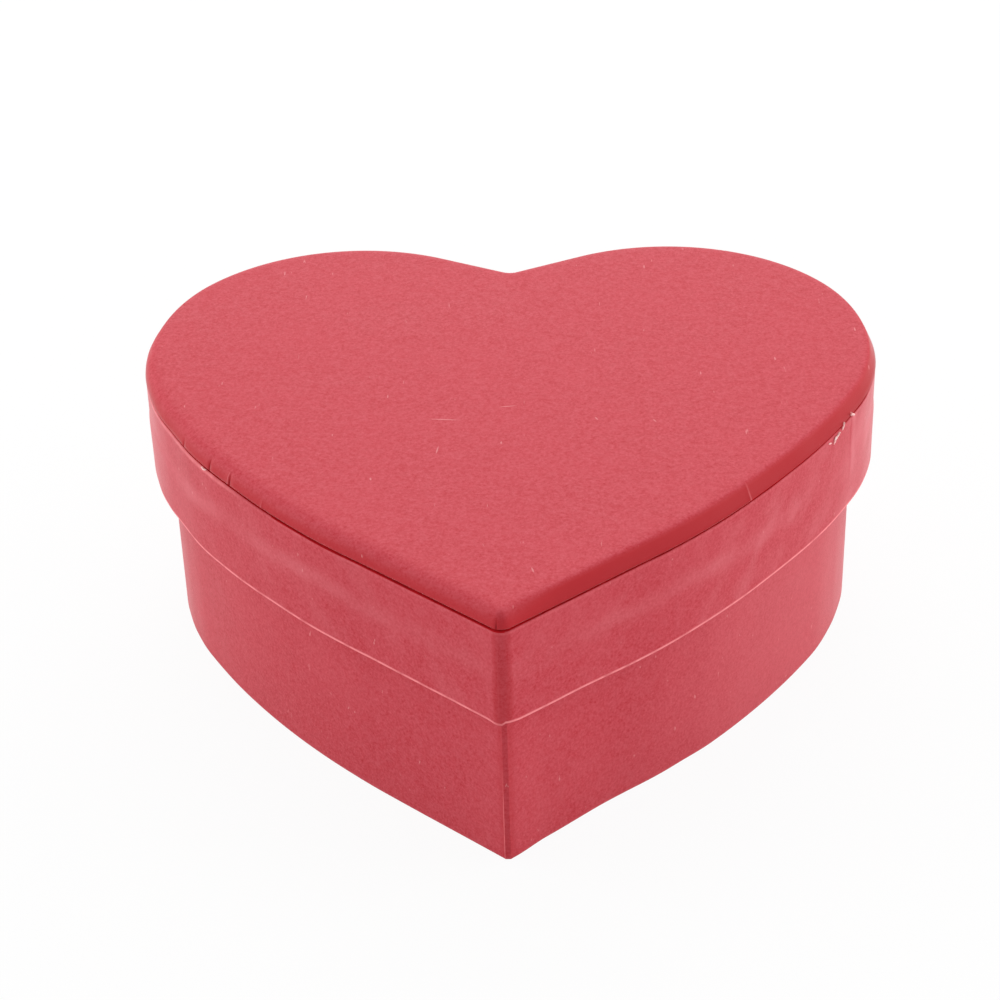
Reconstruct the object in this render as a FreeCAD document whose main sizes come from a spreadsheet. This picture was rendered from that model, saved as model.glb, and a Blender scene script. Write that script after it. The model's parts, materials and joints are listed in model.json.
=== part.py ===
import FreeCAD, Part

import math
import os
import re

import Sketcher
from FreeCAD import Placement, Rotation, Vector

# A heart-shaped paperboard music box, in millimetres: a tray with a lift-off lid, and inside it a
# wind-up movement whose key hangs in the open recess under the tray's floor.
# The origin is the middle of the heart on the surface that the box stands on. +Z is up, the heart's
# point is towards -Y, and the movement's cylinder lies along +X.

doc = FreeCAD.newDocument("heart_music_box")

# ------------------------------------------------------------------------------------------- sizes

SIZES = [
    # the heart outline of the lid's rim
    ("lid_width", 115.0, "width over both lobes"),
    ("lid_length", 104.5, "length from the point to the top of the lobes"),
    ("flank_lean", 6.7, "turn of the flank, out from the line that touches point and lobe, degrees"),
    ("side_radius", 134.0, "long curve between flank and lobe"),
    ("lobe_radius", 32.5, "lobe"),
    ("tip_radius", 2.4, "vertical edge at the point"),
    ("cleft_radius", 1.2, "fillet between the lobes"),
    ("cleft_fall", 26.0062, "fall of the straight stretches beside the fillet, degrees"),
    # the board, with the covering paper that is glued on all over
    ("rim_board", 1.75, "lid's rim"),
    ("wall_board", 2.0, "tray's wall"),
    ("floor_board", 2.0, "tray's floor"),
    ("top_board", 3.0, "lid's top panel"),
    ("tray_height", 42.2, "height of the tray's wall"),
    ("floor_height", 14.0, "recess under the tray's floor"),
    ("rim_height", 15.6, "depth of the lid's rim"),
    ("lid_gap", 0.6, "gap between the lid's rim and the tray"),
    ("panel_inset", 0.15, "step from the rim in to the edge of the top panel"),
    ("edge_slope", 0.9, "how far the panel's sloping edge draws in towards its top"),
    ("block_width", 10.0, "glue block under the floor, along the wall"),
    ("block_depth", 5.0, "glue block, in from the wall"),
    ("point_block", 8.0, "glue block in the point, in from the wall"),
    ("block_height", 9.0, "glue block, down from the floor"),
    # the movement: its own origin is the winding arbor's axis on top of the floor
    ("movement_x", -15.0, "winding arbor from the middle of the box"),
    ("movement_y", 8.0, "winding arbor from the middle of the box"),
    ("running_gap", 0.05, "radial clearance of every turning shaft"),
    ("plate", 1.8, "thickness of the bedplate"),
    ("plate_left", 14.5, "bedplate from the winding arbor to its left edge"),
    ("plate_right", 43.0, "bedplate from the winding arbor to its right edge"),
    ("plate_front", 24.5, "bedplate from the cylinder to its front edge"),
    ("plate_margin", 1.6, "metal of the bedplate behind the governor frame"),
    ("mount_inset", 3.5, "mounting screws from the edges of the bedplate"),
    ("plate_corner", 3.0, "corner of the bedplate"),
    ("axis_height", 10.4, "cylinder's axis above the floor"),
    # the pinned cylinder and the comb
    ("notes", 18, "teeth of the comb and tracks of the cylinder"),
    ("note_pitch", 1.02, "from one tooth of the comb to the next"),
    ("cylinder_start", 14.6, "left end of the cylinder from the winding arbor"),
    ("cylinder_radius", 6.5, "cylinder without its pins"),
    ("cylinder_end", 0.22, "plain end of the cylinder beside the outer tracks"),
    ("pin_height", 0.5, "pin, out of the cylinder"),
    ("pin_width", 0.4, "pin, at its foot"),
    ("beats", 9, "rows of pins round the cylinder"),
    ("embed", 0.1, "foot of pins, crown teeth and thread, sunk into the piece that carries them"),
    ("pin_gap", 0.12, "from the pins to the tips of the comb"),
    ("comb_thickness", 0.8, "steel comb"),
    ("comb_slit", 0.3, "slit between two teeth"),
    ("comb_bass", 11.5, "longest tooth"),
    ("comb_treble", 7.5, "shortest tooth"),
    ("comb_back", 5.5, "solid back of the comb behind the longest tooth"),
    ("arbor_radius", 1.0, "arbor of the cylinder"),
    ("bracket", 1.0, "thickness of the bearing brackets"),
    ("bracket_gap", 0.6, "end play beside the brackets"),
    ("bracket_margin", 3.0, "metal round a bearing hole"),
    ("side_gap", 0.8, "beside the worm wheel"),
    ("arbor_tail", 0.4, "arbor, out of its last bearing"),
    ("comb_ledge", 0.6, "pad of the bedplate, beyond the comb's sides and teeth"),
    # the wheels
    ("pressure_angle", 20.0, "slope of the teeth, degrees"),
    ("addendum", 0.25, "tooth above its pitch line, as a share of the pitch"),
    ("dedendum", 0.37, "gap below the pitch line, as a share of the pitch"),
    ("crown_radius", 11.5, "middle of the great wheel's crown teeth"),
    ("crown_width", 1.8, "length of the crown teeth along the radius"),
    ("crown_teeth", 24, "teeth of the great wheel"),
    ("crown_edge", 0.1, "great wheel's disc beyond the outer ends of its teeth"),
    ("pinion_teeth", 6, "leaves of the cylinder's pinion"),
    ("crown_share", 0.36, "share of the pitch that a crown tooth takes"),
    ("drive_teeth", 24, "teeth of the cylinder's gear"),
    ("drive_pitch", 1.833, "circular pitch of the cylinder's gear"),
    ("drive_width", 1.4, "width of the cylinder's gear"),
    ("leaf_teeth", 6, "leaves of the governor's pinion"),
    ("tooth_share", 0.36, "share of the pitch that a wheel's tooth takes"),
    ("leaf_share", 0.32, "share of the pitch that a pinion's leaf takes"),
    ("mesh_gap", 0.08, "extra distance between meshed wheels"),
    ("worm_teeth", 20, "teeth of the worm wheel"),
    ("worm_pitch", 1.414, "pitch of the worm's single thread"),
    ("worm_width", 1.3, "width of the worm wheel"),
    ("worm_radius", 1.8, "worm, to the middle of its thread"),
    ("worm_length", 4.6, "length of the worm's core"),
    ("shaft_lift", 0.1, "worm shaft above the bedplate"),
    ("worm_turns", 1.1, "turns of the worm's thread"),
    ("worm_gap", 0.5, "from the worm's thread to the brackets beside it"),
    # the spring and the key
    ("winder_radius", 1.6, "winding arbor"),
    ("winder_top", 0.3, "winding arbor above the spring housing"),
    ("hub_wall", 1.6, "hub of the great wheel, round its bore"),
    ("wheel_disc", 1.6, "thickness of the great wheel's disc"),
    ("wheel_lift", 0.3, "great wheel above the bedplate"),
    ("coil_gap", 0.1, "mainspring inside its housing"),
    ("coil_edge", 0.7, "mainspring from the housing's top and its lower edge"),
    ("coil_middle", 5.9, "free middle of the wound mainspring"),
    ("housing_radius", 10.2, "spring housing, outside"),
    ("housing_wall", 0.7, "sheet of the spring housing"),
    ("housing_base", 8.5, "underside of the spring housing above the floor"),
    ("housing_height", 9.5, "height of the spring housing"),
    ("leg_width", 5.0, "legs that carry the spring housing"),
    ("leg_distance", 13.6, "inner face of the legs from the winding arbor"),
    ("arbor_passage", 3.5, "hole in the floor for the winding arbor"),
    ("arbor_drop", 4.5, "winding arbor below the floor"),
    ("key_gap", 0.8, "from the floor down to the key's collar"),
    ("key_collar", 2.8, "radius of the key's collar"),
    ("key_length", 6.0, "length of the key's collar"),
    ("key_drop", 6.2, "from the floor down to the middle of the key's wings"),
    ("key_wing", 4.3, "radius of a wing of the key"),
    ("key_spread", 5.4, "middle of a wing from the key's axis"),
    ("key_sheet", 1.4, "thickness of the key's wings"),
    ("key_bridge", 5.2, "height of the sheet between the key's wings"),
    # the governor and the stop
    ("thin_radius", 0.6, "thin arbors and pivots"),
    ("frame_height", 15.0, "governor frame above the bedplate"),
    ("frame_sheet", 1.3, "arms and post of the governor frame"),
    ("frame_width", 4.4, "governor frame along the cylinder"),
    ("frame_margin", 1.8, "arms in front of the worm's axis"),
    ("frame_clearance", 1.2, "between the worm and the post behind it"),
    ("tab_width", 3.0, "tab under the post"),
    ("fan_radius", 5.0, "tip of the fan's blades"),
    ("fan_height", 3.0, "height of the fan's blades"),
    ("fan_sheet", 0.5, "thickness of the fan's blades"),
    ("hub_radius", 1.5, "hub of the fan"),
    ("hub_top", 0.8, "hub above the fan's blades"),
    ("fan_gap", 0.5, "from the governor frame up to the fan"),
    ("shaft_end", 0.4, "worm shaft above the fan's hub"),
    # screws
    ("mount_radius", 1.25, "screws that hold the movement to the floor"),
    ("mount_head", 2.5, "head of the mounting screws"),
    ("screw_clearance", 0.15, "clearance of the mounting screws in the floor, on the radius"),
    ("head_height", 1.1, "height of all screw heads"),
]

sheet = doc.addObject("Spreadsheet::Sheet", "Sizes")
for row, (alias, value, meaning) in enumerate(SIZES, start=1):
    sheet.set(f"A{row}", meaning)
    sheet.set(f"B{row}", str(value))
    sheet.setAlias(f"B{row}", alias)
doc.recompute()

ALIASES = {alias for alias, value, meaning in SIZES}


def size(alias):
    """The number in one cell of the sheet."""
    return float(sheet.get(alias))


def bind(thing, path, formula):
    """Bind one property of an object to a formula of the sheet's sizes."""
    named = re.sub(r"[a-z]\w*", lambda word: f"Sizes.{word[0]}" if word[0] in ALIASES else word[0],
                   str(formula))
    thing.setExpression(path, named)


# ---------------------------------------------------------------------------- derived measurements

ACROSS_LOBE = "(lid_width / 2 - lobe_radius)"
UP_LOBE = "(lid_length - lobe_radius - tip_radius)"
FLANK_SLOPE = (f"atan2({UP_LOBE}; {ACROSS_LOBE})"
               f" - asin((lobe_radius - tip_radius) / hypot({UP_LOBE}; {ACROSS_LOBE}))"
               " - flank_lean * 1 deg")
CLEFT_RISE = (f"((lobe_radius + cleft_radius - {ACROSS_LOBE} * sin(cleft_fall))"
              " / cos(cleft_fall))")
WALL_OUTER = "(rim_board + lid_gap)"
WALL_INNER = f"({WALL_OUTER} + wall_board)"
RIM_BASE = "(tray_height - rim_height)"
FLOOR_TOP = "(floor_height + floor_board)"

CYLINDER_LENGTH = "(notes * note_pitch + 2 * cylinder_end)"
CYLINDER_END = f"(cylinder_start + {CYLINDER_LENGTH})"
RIGHT_BRACKET = f"({CYLINDER_END} + drive_width + bracket_gap)"
LEFT_BRACKET = "(cylinder_start - bracket_gap - bracket)"
WORM_WHEEL = f"({RIGHT_BRACKET} + bracket + side_gap)"
WORM_X = f"({WORM_WHEEL} + worm_width / 2)"
END_BRACKET = f"({WORM_WHEEL} + worm_width + side_gap)"
DRIVE_RADIUS = "(drive_teeth * drive_pitch / 2 / pi)"
LEAF_RADIUS = "(leaf_teeth * drive_pitch / 2 / pi)"
WORM_WHEEL_RADIUS = "(worm_teeth * worm_pitch / 2 / pi)"
GOVERNOR_Y = f"({DRIVE_RADIUS} + {LEAF_RADIUS} + mesh_gap)"
WORM_Y = f"({GOVERNOR_Y} + {WORM_WHEEL_RADIUS} + worm_radius + mesh_gap)"
CROWN_PITCH = "(2 * pi * crown_radius / crown_teeth)"
PINION_RADIUS = "(crown_radius * pinion_teeth / crown_teeth)"
CROWN_LINE = f"(axis_height - {PINION_RADIUS} - mesh_gap)"
CROWN_ROOT = f"({CROWN_LINE} - dedendum * {CROWN_PITCH})"
CROWN_TOP = f"({CROWN_LINE} + addendum * {CROWN_PITCH})"

COMB_TIP = "(cylinder_radius + pin_height + pin_gap)"
COMB_LEFT = "(cylinder_start + cylinder_end + comb_slit / 2)"
COMB_WIDTH = "(notes * note_pitch - comb_slit)"
COMB_BASE = "(axis_height - comb_thickness / 2)"
FRAME_TOP = "(plate + frame_height)"
FAN_BASE = f"({FRAME_TOP} + fan_gap)"
FRAME_BACK = f"({WORM_Y} + worm_radius + frame_clearance)"
PLATE_BACK = f"({FRAME_BACK} + frame_sheet + plate_margin)"

# ------------------------------------------------------------------------------- building helpers


def place(thing, x, y, z, rotation=None):
    """Turn an object and bind its place, measured from the origin of the whole box."""
    thing.Placement = Placement(Vector(), rotation or Rotation())
    for axis, formula in zip("xyz", (x, y, z)):
        bind(thing, f"Placement.Base.{axis}", formula)
    return thing


def place_in_movement(thing, x, y, z, rotation=None):
    """The same, measured from the movement's own origin."""
    return place(thing, f"movement_x + {x}", f"movement_y + {y}", f"{FLOOR_TOP} + {z}", rotation)


UPRIGHT = Rotation()
ALONG_X = Rotation(Vector(0, 1, 0), 90)
ALONG_Y = Rotation(Vector(1, 0, 0), -90)


def box(name, x, y, z, length, width, height):
    """A block in the movement, from its lowest corner."""
    block = doc.addObject("Part::Box", name)
    for path, formula in (("Length", length), ("Width", width), ("Height", height)):
        bind(block, path, formula)
    return place_in_movement(block, x, y, z)


def cylinder(name, x, y, z, radius, height, rotation=UPRIGHT):
    """A round piece in the movement, from the middle of its first face."""
    rod = doc.addObject("Part::Cylinder", name)
    bind(rod, "Radius", radius)
    bind(rod, "Height", height)
    return place_in_movement(rod, x, y, z, rotation)


def join(name, *pieces):
    union = doc.addObject("Part::MultiFuse", name)
    union.Shapes = list(pieces)
    union.Refine = True
    return union


def group(name, *pieces):
    """Identical pieces that stay separate solids."""
    compound = doc.addObject("Part::Compound", name)
    compound.Links = list(pieces)
    return compound


def cut(name, base, *tools):
    """The base without the tools."""
    tool = tools[0] if len(tools) == 1 else join(name + "_tools", *tools)
    difference = doc.addObject("Part::Cut", name)
    difference.Base = base
    difference.Tool = tool
    difference.Refine = True
    return difference


def sketch_in(body, name, plane="XY_Plane", offset=None):
    """A sketch on one of the body's own origin planes."""
    sketch = body.newObject("Sketcher::SketchObject", name)
    origin_plane = next(item for item in body.Origin.OriginFeatures if item.Role == plane)
    sketch.AttachmentSupport = [(origin_plane, "")]
    sketch.MapMode = "FlatFace"
    if offset:
        sketch.AttachmentOffset = offset
    return sketch


def constrain(sketch, path_value, *description):
    """Add one constraint, bound to a formula where it has a value."""
    number = sketch.addConstraint(Sketcher.Constraint(*description))
    if path_value is not None:
        bind(sketch, f"Constraints[{number}]", path_value)


def circle(sketch, radius):
    """A circle about the sketch's origin."""
    index = sketch.addGeometry(Part.Circle(Vector(), Vector(0, 0, 1), 1.0), False)
    constrain(sketch, None, "Coincident", index, 3, -1, 1)
    constrain(sketch, radius, "Radius", index, 1.0)


def polygon(sketch, corners):
    """A closed outline of straight edges, every corner bound to its formulas."""
    count = len(corners)
    loose = [Vector(math.cos(2 * math.pi * turn / count), math.sin(2 * math.pi * turn / count), 0)
             for turn in range(count)]
    first = sketch.GeometryCount
    for turn in range(count):
        sketch.addGeometry(Part.LineSegment(loose[turn], loose[(turn + 1) % count]), False)
    for turn, (x, y) in enumerate(corners):
        constrain(sketch, None, "Coincident", first + turn, 2, first + (turn + 1) % count, 1)
        for kind, formula, axis in (("DistanceX", x, -2), ("DistanceY", y, -1)):
            if formula == "0":
                constrain(sketch, None, "PointOnObject", first + turn, 1, axis)
            else:
                constrain(sketch, formula, kind, -1, 1, first + turn, 1, 1.0)


def pad(body, sketch, length, **options):
    feature = body.newObject("PartDesign::Pad", sketch.Name + "_pad")
    feature.Profile = sketch
    bind(feature, "Length", length)
    for key, value in options.items():
        setattr(feature, key, value)
    return feature


def pocket(body, sketch, length=None, **options):
    """A cut as deep as length, or through the whole piece."""
    feature = body.newObject("PartDesign::Pocket", sketch.Name + "_pocket")
    feature.Profile = sketch
    if length is None:
        feature.Type = "ThroughAll"
    else:
        bind(feature, "Length", length)
    for key, value in options.items():
        setattr(feature, key, value)
    return feature


def polar_pattern(body, feature, axis_sketch, count):
    pattern = body.newObject("PartDesign::PolarPattern", feature.Name + "_pattern")
    pattern.Originals = [feature]
    pattern.Axis = (axis_sketch, ["N_Axis"])
    pattern.Angle = 360
    bind(pattern, "Occurrences", count)
    body.Tip = pattern
    return pattern


# ------------------------------------------------------------------------------- the heart outline


def heart_sketch():
    """The lid's outline: a rounded point, two straight flanks, and two lobes that meet in a cleft."""
    radius = {part: size(part + "_radius") for part in ("side", "lobe", "tip", "cleft")}
    across_lobe = size("lid_width") / 2 - radius["lobe"]
    up_lobe = size("lid_length") - radius["lobe"] - radius["tip"]
    wedge = math.asin((radius["lobe"] - radius["tip"]) / math.hypot(across_lobe, up_lobe))
    slope = math.atan2(up_lobe, across_lobe) - wedge - math.radians(size("flank_lean"))
    along = Vector(math.cos(slope), math.sin(slope), 0)
    inward = Vector(-math.sin(slope), math.cos(slope), 0)

    lobe = Vector(across_lobe, size("lid_length") / 2 - radius["lobe"], 0)
    tip = Vector(0, radius["tip"] - size("lid_length") / 2, 0)
    flank_start = tip - inward * radius["tip"]
    # the side curve touches the flank and the lobe, which fixes where the flank ends
    reach = flank_start + inward * radius["side"] - lobe
    advance = reach.dot(along)
    spare = advance ** 2 - reach.Length ** 2 + (radius["side"] - radius["lobe"]) ** 2
    flank_end = flank_start + along * (-advance - math.sqrt(spare))
    side = flank_end + inward * radius["side"]
    lobe_start = side + (lobe - side).normalize() * radius["side"]
    # the straight stretch beside the cleft touches the lobe from above and the fillet from below
    fall = math.radians(size("cleft_fall"))
    rise = (radius["lobe"] + radius["cleft"] - across_lobe * math.sin(fall)) / math.cos(fall)
    cleft = lobe + Vector(-lobe.x, rise, 0)
    above = Vector(-math.sin(fall), math.cos(fall), 0)
    lobe_end = lobe + above * radius["lobe"]
    cleft_start = cleft - above * radius["cleft"]

    def mirrored(point):
        return Vector(-point.x, point.y, 0)

    def arc(start, centre, end):
        """The counterclockwise arc from start to end."""
        middle = (start + end) * 0.5 - centre
        return Part.Arc(start, centre + middle.normalize() * (start - centre).Length, end)

    sketch = doc.addObject("Sketcher::SketchObject", "heart_outline")
    outline = [
        arc(mirrored(flank_start), tip, flank_start),
        Part.LineSegment(flank_start, flank_end),
        arc(flank_end, side, lobe_start),
        arc(lobe_start, lobe, lobe_end),
        Part.LineSegment(lobe_end, cleft_start),
        arc(mirrored(cleft_start), cleft, cleft_start),
        Part.LineSegment(mirrored(cleft_start), mirrored(lobe_end)),
        arc(mirrored(lobe_end), mirrored(lobe), mirrored(lobe_start)),
        arc(mirrored(lobe_start), mirrored(side), mirrored(flank_end)),
        Part.LineSegment(mirrored(flank_end), mirrored(flank_start)),
    ]
    sketch.addGeometry(outline, False)
    (flank, right_side, right_lobe, right_dip, cleft_arc,
     left_dip, left_lobe, left_side, left_flank) = range(1, 10)

    start, end, centre = 1, 2, 3
    joints = [(0, end, flank, start), (flank, end, right_side, start),
              (right_side, end, right_lobe, start), (right_lobe, end, right_dip, start),
              (right_dip, end, cleft_arc, end), (cleft_arc, start, left_dip, start),
              (left_dip, end, left_lobe, start), (left_lobe, end, left_side, start),
              (left_side, end, left_flank, start), (left_flank, end, 0, start)]
    for joint in joints:
        constrain(sketch, None, "Tangent", *joint)
    for arc_index, radius_size in ((0, "tip_radius"), (right_side, "side_radius"),
                                   (right_lobe, "lobe_radius"), (cleft_arc, "cleft_radius")):
        constrain(sketch, radius_size, "Radius", arc_index, radius[radius_size[:-7]])
    constrain(sketch, None, "Equal", right_lobe, left_lobe)
    constrain(sketch, None, "Equal", right_side, left_side)
    constrain(sketch, None, "PointOnObject", 0, centre, -2)
    constrain(sketch, "tip_radius - lid_length / 2", "DistanceY", -1, 1, 0, centre, tip.y)
    constrain(sketch, None, "PointOnObject", cleft_arc, centre, -2)
    constrain(sketch, f"lid_length / 2 - lobe_radius + {CLEFT_RISE}", "DistanceY", -1, 1,
              cleft_arc, centre, cleft.y)
    constrain(sketch, ACROSS_LOBE, "DistanceX", -1, 1, right_lobe, centre, lobe.x)
    constrain(sketch, "lid_length / 2 - lobe_radius", "DistanceY", -1, 1, right_lobe, centre, lobe.y)
    constrain(sketch, None, "Symmetric", right_lobe, centre, left_lobe, centre, -2)
    constrain(sketch, FLANK_SLOPE, "Angle", flank, slope)
    constrain(sketch, f"-({FLANK_SLOPE})", "Angle", left_flank, -slope)
    return sketch


HEART = heart_sketch()


def heart(name, inset, height, z):
    """A heart-shaped slab whose edge is drawn in from the lid's outline."""
    outline = HEART
    if inset != "0":
        outline = doc.addObject("Part::Offset2D", name + "_outline")
        outline.Source = HEART
        bind(outline, "Value", f"-{inset}")
    slab = doc.addObject("Part::Extrusion", name)
    slab.Base = outline
    slab.DirMode = "Custom"
    slab.Dir = Vector(0, 0, 1)
    slab.Solid = True
    bind(slab, "LengthFwd", height)
    bind(slab, "Placement.Base.z", z)
    return slab


def heart_band(name, outer, inner, height, z):
    """An upright strip bent round the heart."""
    return cut(name, heart(name + "_outside", outer, height, z), heart(name + "_inside", inner, height, z))


# ---------------------------------------------------------------------------------------- the tray

MOUNT_SCREWS = [
    ("plate_right - mount_inset", "-plate_front + mount_inset"),
    ("-plate_left + mount_inset", f"{PLATE_BACK} - mount_inset"),
]


def tray():
    """Wall and floor of the lower box, with the glue blocks that carry the floor."""
    wall = heart_band("tray_wall", WALL_OUTER, WALL_INNER, "tray_height", "0")
    holes = [cylinder("arbor_passage_hole", "0", "0", "-floor_board", "arbor_passage", "floor_board")]
    for turn, (x, y) in enumerate(MOUNT_SCREWS):
        holes.append(cylinder(f"floor_screw_hole_{turn}", x, y, "-floor_board",
                              "mount_radius + screw_clearance", "floor_board"))
    floor = cut("tray_floor", heart("floor_slab", WALL_INNER, "floor_board", "floor_height"), *holes)
    return [wall, floor, glue_blocks()]


def glue_blocks():
    """Five board blocks in the recess, shaped to the wall: point, both sides and both lobes."""
    half_width = f"(lid_width / 2 - {WALL_INNER})"
    half_length = f"(lid_length / 2 - {WALL_INNER})"
    lobe_y = "(lid_length / 2 - lobe_radius)"
    spots = [
        ("-block_width / 2", f"-{half_length} - block_depth", "block_width", "block_depth + point_block"),
        (f"-{half_width} - block_depth", f"{lobe_y} - block_width / 2", "2 * block_depth", "block_width"),
        (f"{half_width} - block_depth", f"{lobe_y} - block_width / 2", "2 * block_depth", "block_width"),
        (f"-{ACROSS_LOBE} - block_width / 2", f"{half_length} - block_depth",
         "block_width", "2 * block_depth"),
        (f"{ACROSS_LOBE} - block_width / 2", f"{half_length} - block_depth",
         "block_width", "2 * block_depth"),
    ]
    blocks = []
    for turn, (x, y, length, width) in enumerate(spots):
        block = doc.addObject("Part::Box", f"block_{turn}")
        for path, formula in (("Length", length), ("Width", width), ("Height", "block_height")):
            bind(block, path, formula)
        blocks.append(place(block, x, y, "floor_height - block_height"))
    recess = heart("recess_space", WALL_INNER, "block_height", "floor_height - block_height")
    shaped = doc.addObject("Part::MultiCommon", "floor_glue_blocks")
    shaped.Shapes = [join("blocks", *blocks), recess]
    return shaped


# ----------------------------------------------------------------------------------------- the lid


def lid():
    """A rim, closed by a thick panel whose edge slopes in towards its top."""
    rim = heart_band("lid_rim", "0", "rim_board", "rim_height", RIM_BASE)
    panel = heart("lid_top", "panel_inset", "top_board", "tray_height")
    bind(panel, "TaperAngle", "-atan(edge_slope / top_board)")
    return [rim, panel]


# ---------------------------------------------------------------------- the movement: fixed pieces


def bedplate():
    """The cast plate, with a raised pad for the comb and slots for the tabs of the sheet pieces."""
    body = doc.addObject("PartDesign::Body", "bedplate_casting")
    outline = sketch_in(body, "plate_outline")
    polygon(outline, [
        ("-plate_left", "-plate_front + plate_corner"), ("-plate_left + plate_corner", "-plate_front"),
        ("plate_right - plate_corner", "-plate_front"), ("plate_right", "-plate_front + plate_corner"),
        ("plate_right", f"{PLATE_BACK} - plate_corner"), ("plate_right - plate_corner", PLATE_BACK),
        ("-plate_left + plate_corner", PLATE_BACK),
        ("-plate_left", f"{PLATE_BACK} - plate_corner"),
    ])
    pad(body, outline, "plate")
    place_in_movement(body, "0", "0", "0")
    comb_pad = box("comb_pad", f"{COMB_LEFT} - comb_ledge", "-plate_front", "0",
                   f"{COMB_WIDTH} + 2 * comb_ledge",
                   f"plate_front - {COMB_TIP} - comb_bass - comb_ledge", COMB_BASE)
    holes = [cylinder("winder_bearing", "0", "0", "0", "winder_radius + running_gap", "plate")]
    for turn, (x, y) in enumerate(MOUNT_SCREWS):
        holes.append(cylinder(f"plate_screw_hole_{turn}", x, y, "0", "mount_radius", "plate"))
    slots = [box(f"leg_slot_{side}", *leg_corner(side), "0", "leg_width", "housing_wall", "plate")
             for side in ("-", "")]
    slots.append(frame_tab("frame_slot"))
    return cut("bedplate", join("bedplate_solid", body, comb_pad), *holes, *slots)


def comb():
    """Steel teeth, longest at the left, cut from one plate that lies on the bedplate's pad."""
    body = doc.addObject("PartDesign::Body", "comb")
    outline = sketch_in(body, "comb_outline")
    notes = int(size("notes"))
    tip = f"-{COMB_TIP}"
    back = f"-({COMB_TIP} + comb_bass + comb_back)"
    corners = [(COMB_WIDTH, back), ("0", back)]
    for note in range(notes):
        root = f"-({COMB_TIP} + comb_bass - (comb_bass - comb_treble) * {note} / {notes - 1})"
        left = f"note_pitch * {note}" if note else "0"
        right = f"note_pitch * {note + 1} - comb_slit"
        corners += [(left, tip), (right, tip)]
        if note < notes - 1:
            corners += [(right, root), (f"note_pitch * {note + 1}", root)]
    polygon(outline, corners[::-1])
    pad(body, outline, "comb_thickness")
    return place_in_movement(body, COMB_LEFT, "0", COMB_BASE)


def bearing_bracket(name, x, front, back, bearings):
    """An upright plate across the cylinder's axis, with a bearing hole for each arbor."""
    sheet_metal = box(name + "_sheet", x, front, "plate", "bracket", f"{back} - ({front})",
                      "axis_height + bracket_margin - plate")
    holes = [cylinder(f"{name}_hole_{turn}", x, y, "axis_height", f"{radius} + running_gap", "bracket",
                      ALONG_X) for turn, (y, radius) in enumerate(bearings)]
    return cut(name, sheet_metal, *holes)


def bearing_brackets():
    """The cylinder runs in the first two brackets and the governor's arbor in the last two."""
    cylinder_bearing = ("0", "arbor_radius")
    governor_bearing = (GOVERNOR_Y, "thin_radius")
    beside_worm = f"({WORM_Y} - worm_radius - addendum * worm_pitch - worm_gap)"
    left = bearing_bracket("left_bearing_bracket", LEFT_BRACKET, "-bracket_margin", "bracket_margin",
                           [cylinder_bearing])
    middle = bearing_bracket("right_bearing_bracket", RIGHT_BRACKET, "-bracket_margin", beside_worm,
                             [cylinder_bearing, governor_bearing])
    end = bearing_bracket("governor_bearing_bracket", END_BRACKET, f"{GOVERNOR_Y} - bracket_margin",
                          beside_worm, [governor_bearing])
    return [left, middle, end]


def leg_corner(side):
    """Lowest x and y of one of the two legs that carry the spring housing."""
    y = "-leg_distance - housing_wall" if side else "leg_distance"
    return "-leg_width / 2", y


def spring_housing():
    """A drawn steel cup upside down over the spring, on two bent legs with tabs in the bedplate."""
    legs = []
    for side in ("-", ""):
        x, y = leg_corner(side)
        legs.append(box(f"leg_arm_{side}", x, y if side else "0", "housing_base", "leg_width",
                        "leg_distance + housing_wall", "housing_wall"))
        legs.append(box(f"leg_{side}", x, y, "0", "leg_width", "housing_wall", "housing_base"))
    cup = cylinder("cup", "0", "0", "housing_base", "housing_radius", "housing_height")
    spring_space = cylinder("spring_space", "0", "0", "housing_base", "housing_radius - housing_wall",
                            "housing_height - housing_wall")
    top_bearing = cylinder("top_bearing", "0", "0", "housing_base", "winder_radius + running_gap",
                           "housing_height")
    return cut("spring_housing", join("housing_solid", cup, *legs), spring_space, top_bearing)


def mainspring():
    """The wound spring lies as a pack of coils against the housing's wall."""
    low, height = "housing_base + coil_edge", "housing_height - housing_wall - 2 * coil_edge"
    outside = cylinder("coil_pack", "0", "0", low, "housing_radius - housing_wall - coil_gap", height)
    inside = cylinder("coil_pack_middle", "0", "0", low, "coil_middle", height)
    return cut("mainspring", outside, inside)


def frame_tab(name):
    """The tab under the post of the governor frame, which also shapes its slot in the bedplate."""
    return box(name, f"({WORM_X} - tab_width / 2)", FRAME_BACK, "0", "tab_width", "frame_sheet", "plate")


def governor_frame():
    """A C-shaped bracket behind the worm, with a bearing in each arm and a tab in the bedplate."""
    left = f"({WORM_X} - frame_width / 2)"
    front = f"({WORM_Y} - frame_margin)"
    post = box("frame_post", left, FRAME_BACK, "plate", "frame_width", "frame_sheet", "frame_height")
    arms = [box(f"frame_arm_{turn}", left, front, z, "frame_width", f"{FRAME_BACK} - {front}",
                "frame_sheet")
            for turn, z in enumerate(("plate", "plate + frame_height - frame_sheet"))]
    bearing = cylinder("frame_bearings", WORM_X, WORM_Y, "plate", "thin_radius + running_gap",
                       "frame_height")
    return cut("governor_frame", join("frame_solid", post, frame_tab("frame_tab"), *arms), bearing)


def mounting_screws():
    """Two screws from the recess up through the floor into the bedplate."""
    pieces = []
    for turn, (x, y) in enumerate(MOUNT_SCREWS):
        head = cylinder(f"mount_head_{turn}", x, y, "-floor_board - head_height", "mount_head",
                        "head_height")
        shank = cylinder(f"mount_shank_{turn}", x, y, "-floor_board", "mount_radius",
                         "floor_board + plate")
        pieces.append(join(f"mount_screw_{turn}", head, shank))
    return group("mounting_screws", *pieces)


# --------------------------------------------------------------------- the movement: moving pieces


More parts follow.
